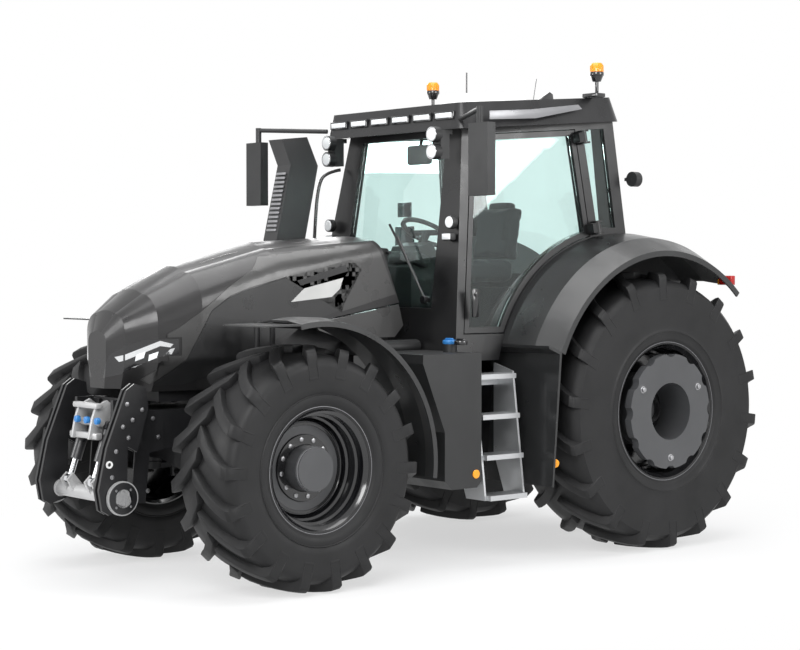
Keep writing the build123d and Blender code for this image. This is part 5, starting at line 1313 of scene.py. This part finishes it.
@dataclass
class LinkageTrim:
    """Bolts, pale edges, bushings and the coupler on the front linkage; outlines are in side view."""

    plate_x: float = 0.384
    nose: tuple[Flat, ...] = (
        (-2.412, 1.311), (-2.466, 1.274), (-2.609, 0.921), (-2.666, 0.662), (-2.642, 0.536),
        (-2.600, 0.511),
    )
    edge_radius: float = 0.0075
    plate_bolts: tuple[Flat, ...] = (
        (-2.47, 1.19), (-2.43, 1.09), (-2.50, 1.05), (-2.46, 0.98), (-2.55, 0.90), (-2.36, 1.15),
        (-2.58, 0.74),
    )
    rear_bolts: tuple[Flat, ...] = ((-2.20, 1.08), (-2.16, 0.96), (-2.24, 0.62))
    rear_plate_x: float = 0.2763
    bolt_size: float = 0.011
    bushing_place: Flat = (-2.60, 0.82)
    rocker_y: float = -2.518
    rocker_z: float = 0.606
    stub_bolt_r: float = 0.074
    cheek: tuple[Flat, ...] = (
        (-2.575, 0.955), (-2.50, 0.945), (-2.43, 0.99), (-2.40, 1.17), (-2.44, 1.20), (-2.52, 1.16),
        (-2.55, 1.08),
    )
    cheek_x: float = 0.105
    cap_places: Point = (-0.06, 0.06, 0.19)

    def build(self) -> None:
        """Builds the linkage's fittings."""
        out = (1, 0, 0)
        edges = Mould("linkage_edges", Finishes.edge_light)
        for x in (self.plate_x - 0.036, self.plate_x + 0.014):
            edges.tube([(x, y + 0.002, z) for y, z in self.nose], self.edge_radius, smooth=False)
        edges.mirror().cast("chassis", "light_casting")
        bolts = Mould("linkage_bolts", Finishes.steel)
        for x, places in ((self.plate_x + 0.025, self.plate_bolts), (self.rear_plate_x, self.rear_bolts)):
            for y, z in places:
                bolts.bolt((x, y, z), out, self.bolt_size)
        bolts.mirror().cast("chassis", "light_casting")
        oval = Mould("linkage_bushings", Finishes.white)
        ring = [(0.0, 0.012), (0.0, 0.024), (0.007, 0.023), (0.007, 0.013)]
        oval.lathe(ring, (self.plate_x + 0.025, *self.bushing_place), out, 32)
        oval.mirror().cast("chassis", "light_casting")
        self._stubs()
        self._coupler()

    def _stubs(self) -> None:
        """The round stub plates on the cross rocker, with their bolts."""
        out = (1, 0, 0)
        stub = Mould("linkage_stub_plates", Finishes.chassis)
        stub.drum(0.100, 0.016, (0.436, self.rocker_y, self.rocker_z), out, 48, 0.004)
        stub.mirror().cast("rocker", "light_casting")
        cross = Mould("linkage_stub_bolts", Finishes.steel)
        for turn in range(4):
            angle = math.radians(45 + turn * 90)
            y = self.rocker_y + self.stub_bolt_r * math.cos(angle)
            z = self.rocker_z + self.stub_bolt_r * math.sin(angle)
            cross.bolt((0.4365, y, z), out, 0.009)
        cross.drum(0.030, 0.012, (0.4375, self.rocker_y, self.rocker_z), out, 32, 0.003)
        cross.mirror().cast("rocker", "light_casting")

    def _coupler(self) -> None:
        """The pale coupler bracket with its bars, cross pin and blue caps."""
        coupler = Mould("coupler_bracket", Finishes.light_cast)
        for side in SIDES:
            coupler.plate(self.cheek, side * self.cheek_x - 0.012, 0.024, "x", 0.004)
        coupler.block((0.30, 0.05, 0.035), (0.0, -2.515, 1.165), 0.008)
        coupler.block((0.34, 0.045, 0.040), (0.0, -2.53, 0.975), 0.008)
        coupler.drum(0.026, 0.30, (0.0, -2.50, 1.06), (1, 0, 0), 32, 0.003)
        coupler.cast("chassis", "light_casting")
        caps = Mould("coupler_caps", Finishes.blue)
        for x in self.cap_places:
            caps.drum(0.022, 0.030, (x, -2.555, 1.075), (0, -1, 0), 24, 0.004)
        caps.cast("chassis", "light_casting")


@dataclass
class SideFittings:
    """Tank caps, reflectors, step treads, the exhaust's face, the handrail and the rear lights."""

    blue_cap: Flat = (0.90, -0.232)
    black_cap: Flat = (1.02, -0.235)
    cap_z: float = 1.538
    step_top_z: float = 1.302
    step_pitch: float = 0.272
    step_out_x: float = 1.060
    step_shift: float = 0.038
    step_count: int = 4
    tooth_count: int = 9
    tooth_pitch: float = 0.040
    slat_count: int = 14
    slat_low_z: float = 2.32
    slat_pitch: float = 0.032
    stack_lean: float = 0.213
    rail_run: tuple[Point, ...] = (
        (-0.74, -0.16, 2.02), (-0.74, -0.14, 2.40), (-0.74, -0.11, 2.66), (-0.72, -0.06, 2.76),
        (-0.66, 0.04, 2.78),
    )
    rail_radius: float = 0.013
    rear_light_z: float = 1.95
    rear_light_x: float = 1.22
    indicator_x: float = 1.11

    def build(self) -> None:
        """Builds the fittings on the tractor's sides."""
        caps = (
            ("tank_cap_blue", Finishes.blue, self.blue_cap),
            ("tank_cap_black", Finishes.gloss_black, self.black_cap),
        )
        for name, finish, (x, y) in caps:
            cap = Mould(name, finish)
            cap.drum(0.046, 0.030, (x, y, self.cap_z), (0, 0, 1), 24, 0.006)
            cap.block((0.075, 0.016, 0.016), (x, y, self.cap_z + 0.020), 0.005)
            cap.cast("chassis", "black_plastic")
        reflex = Mould("side_reflectors", Finishes.amber_reflex)
        reflex.drum(0.030, 0.008, (1.1335, -0.195, 0.655), (1, 0, 0), 32, 0.002)
        reflex.drum(0.030, 0.008, (1.285, 0.395, 0.70), (0.9, -0.45, 0), 32, 0.002)
        reflex.cast("chassis", "beacon_amber")
        treads = Mould("step_treads", Finishes.aluminium)
        for i in range(self.step_count):
            x = self.step_out_x + self.step_shift * i - 0.085
            z = self.step_top_z - i * self.step_pitch + 0.003
            for k in range(self.tooth_count):
                treads.block((0.150, 0.008, 0.010), (x, -0.085 + k * self.tooth_pitch, z), 0.002)
        treads.cast("chassis", "step_aluminium")
        slats = Mould("exhaust_face", Finishes.exhaust_face)
        for i in range(self.slat_count):
            z = self.slat_low_z + i * self.slat_pitch
            place = (-0.72, -0.572 + (z - 2.25) * self.stack_lean, z)
            slats.block((0.115, 0.012, 0.018), place, 0.003, Matrix.Rotation(math.radians(-12), 4, "X"))
        slats.cast("chassis", "exhaust_grey")
        rail = Mould("handrail", Finishes.gloss_black)
        rail.tube(self.rail_run, self.rail_radius)
        rail.cast("chassis", "black_plastic")
        self._rear_lights()

    def _rear_lights(self) -> None:
        """Red and amber lights, set where a line from behind meets each rear fender."""
        tail = Mould("rear_lights", Finishes.red)
        amber = Mould("rear_indicators", Finishes.amber_reflex)
        for name, side in (("left", LEFT), ("right", RIGHT)):
            fender = cad_mesh(f"rear_fender_{name}")
            for mould, x, width in ((tail, self.rear_light_x, 0.12), (amber, self.indicator_x, 0.06)):
                behind = Vector((side * x, 4.0, self.rear_light_z))
                hit = fender.ray_cast(behind, Vector((0, -1, 0)))[0]
                if hit is not None:
                    mould.block((width, 0.050, 0.07), tuple(hit), 0.006)
        tail.cast("chassis", "lamp_glass")
        amber.cast("chassis", "lamp_glass")


@dataclass
class CabinGear:
    """The dash hood, screens and armrest that show through the glass."""

    dash_tilt: float = -20.0
    camera_box: Point = (0.10, 0.18, 2.86)
    screen_x: float = -0.36
    screen_y: float = 0.42

    def build(self) -> None:
        """Builds the cabin's fittings."""
        gear = Mould("cabin_gear", Finishes.plastic)
        tilt = Matrix.Rotation(math.radians(self.dash_tilt), 4, "X")
        gear.block((0.40, 0.16, 0.10), (0.0, 0.13, 2.10), 0.03, tilt)
        gear.block((0.030, 0.20, 0.14), (-0.40, 0.55, 2.16), 0.01)
        gear.block((0.09, 0.36, 0.05), (-0.36, 0.75, 2.06), 0.02)
        gear.block((0.24, 0.05, 0.14), self.camera_box, 0.015)
        gear.tube([(0.10, 0.20, 2.98), self.camera_box], 0.012, smooth=False)
        gear.cast("chassis", "black_plastic")
        screens = Mould("cabin_screens", Finishes.screen)
        screens.block((0.22, 0.012, 0.15), (self.screen_x, self.screen_y, 2.28), 0.006)
        screens.block((0.16, 0.010, 0.11), (self.screen_x, self.screen_y, 2.48), 0.006)
        screens.cast("chassis", "black_plastic")


def main() -> None:
    """Builds every sub-assembly in order."""
    logging.basicConfig(level=logging.INFO, format="%(name)s %(message)s")
    Studio().build()
    Paintwork().apply()
    for wheel in WHEELS:
        LuggedTyre(wheel).build()
        SteppedRim(wheel, 0.120 if wheel.end == "front" else 0.082).build()
    for group in (HoodTrim(), CabTrim(), LinkageTrim(), SideFittings(), CabinGear(), PaddedSeat()):
        group.build()


if __name__ == "__main__":
    main()
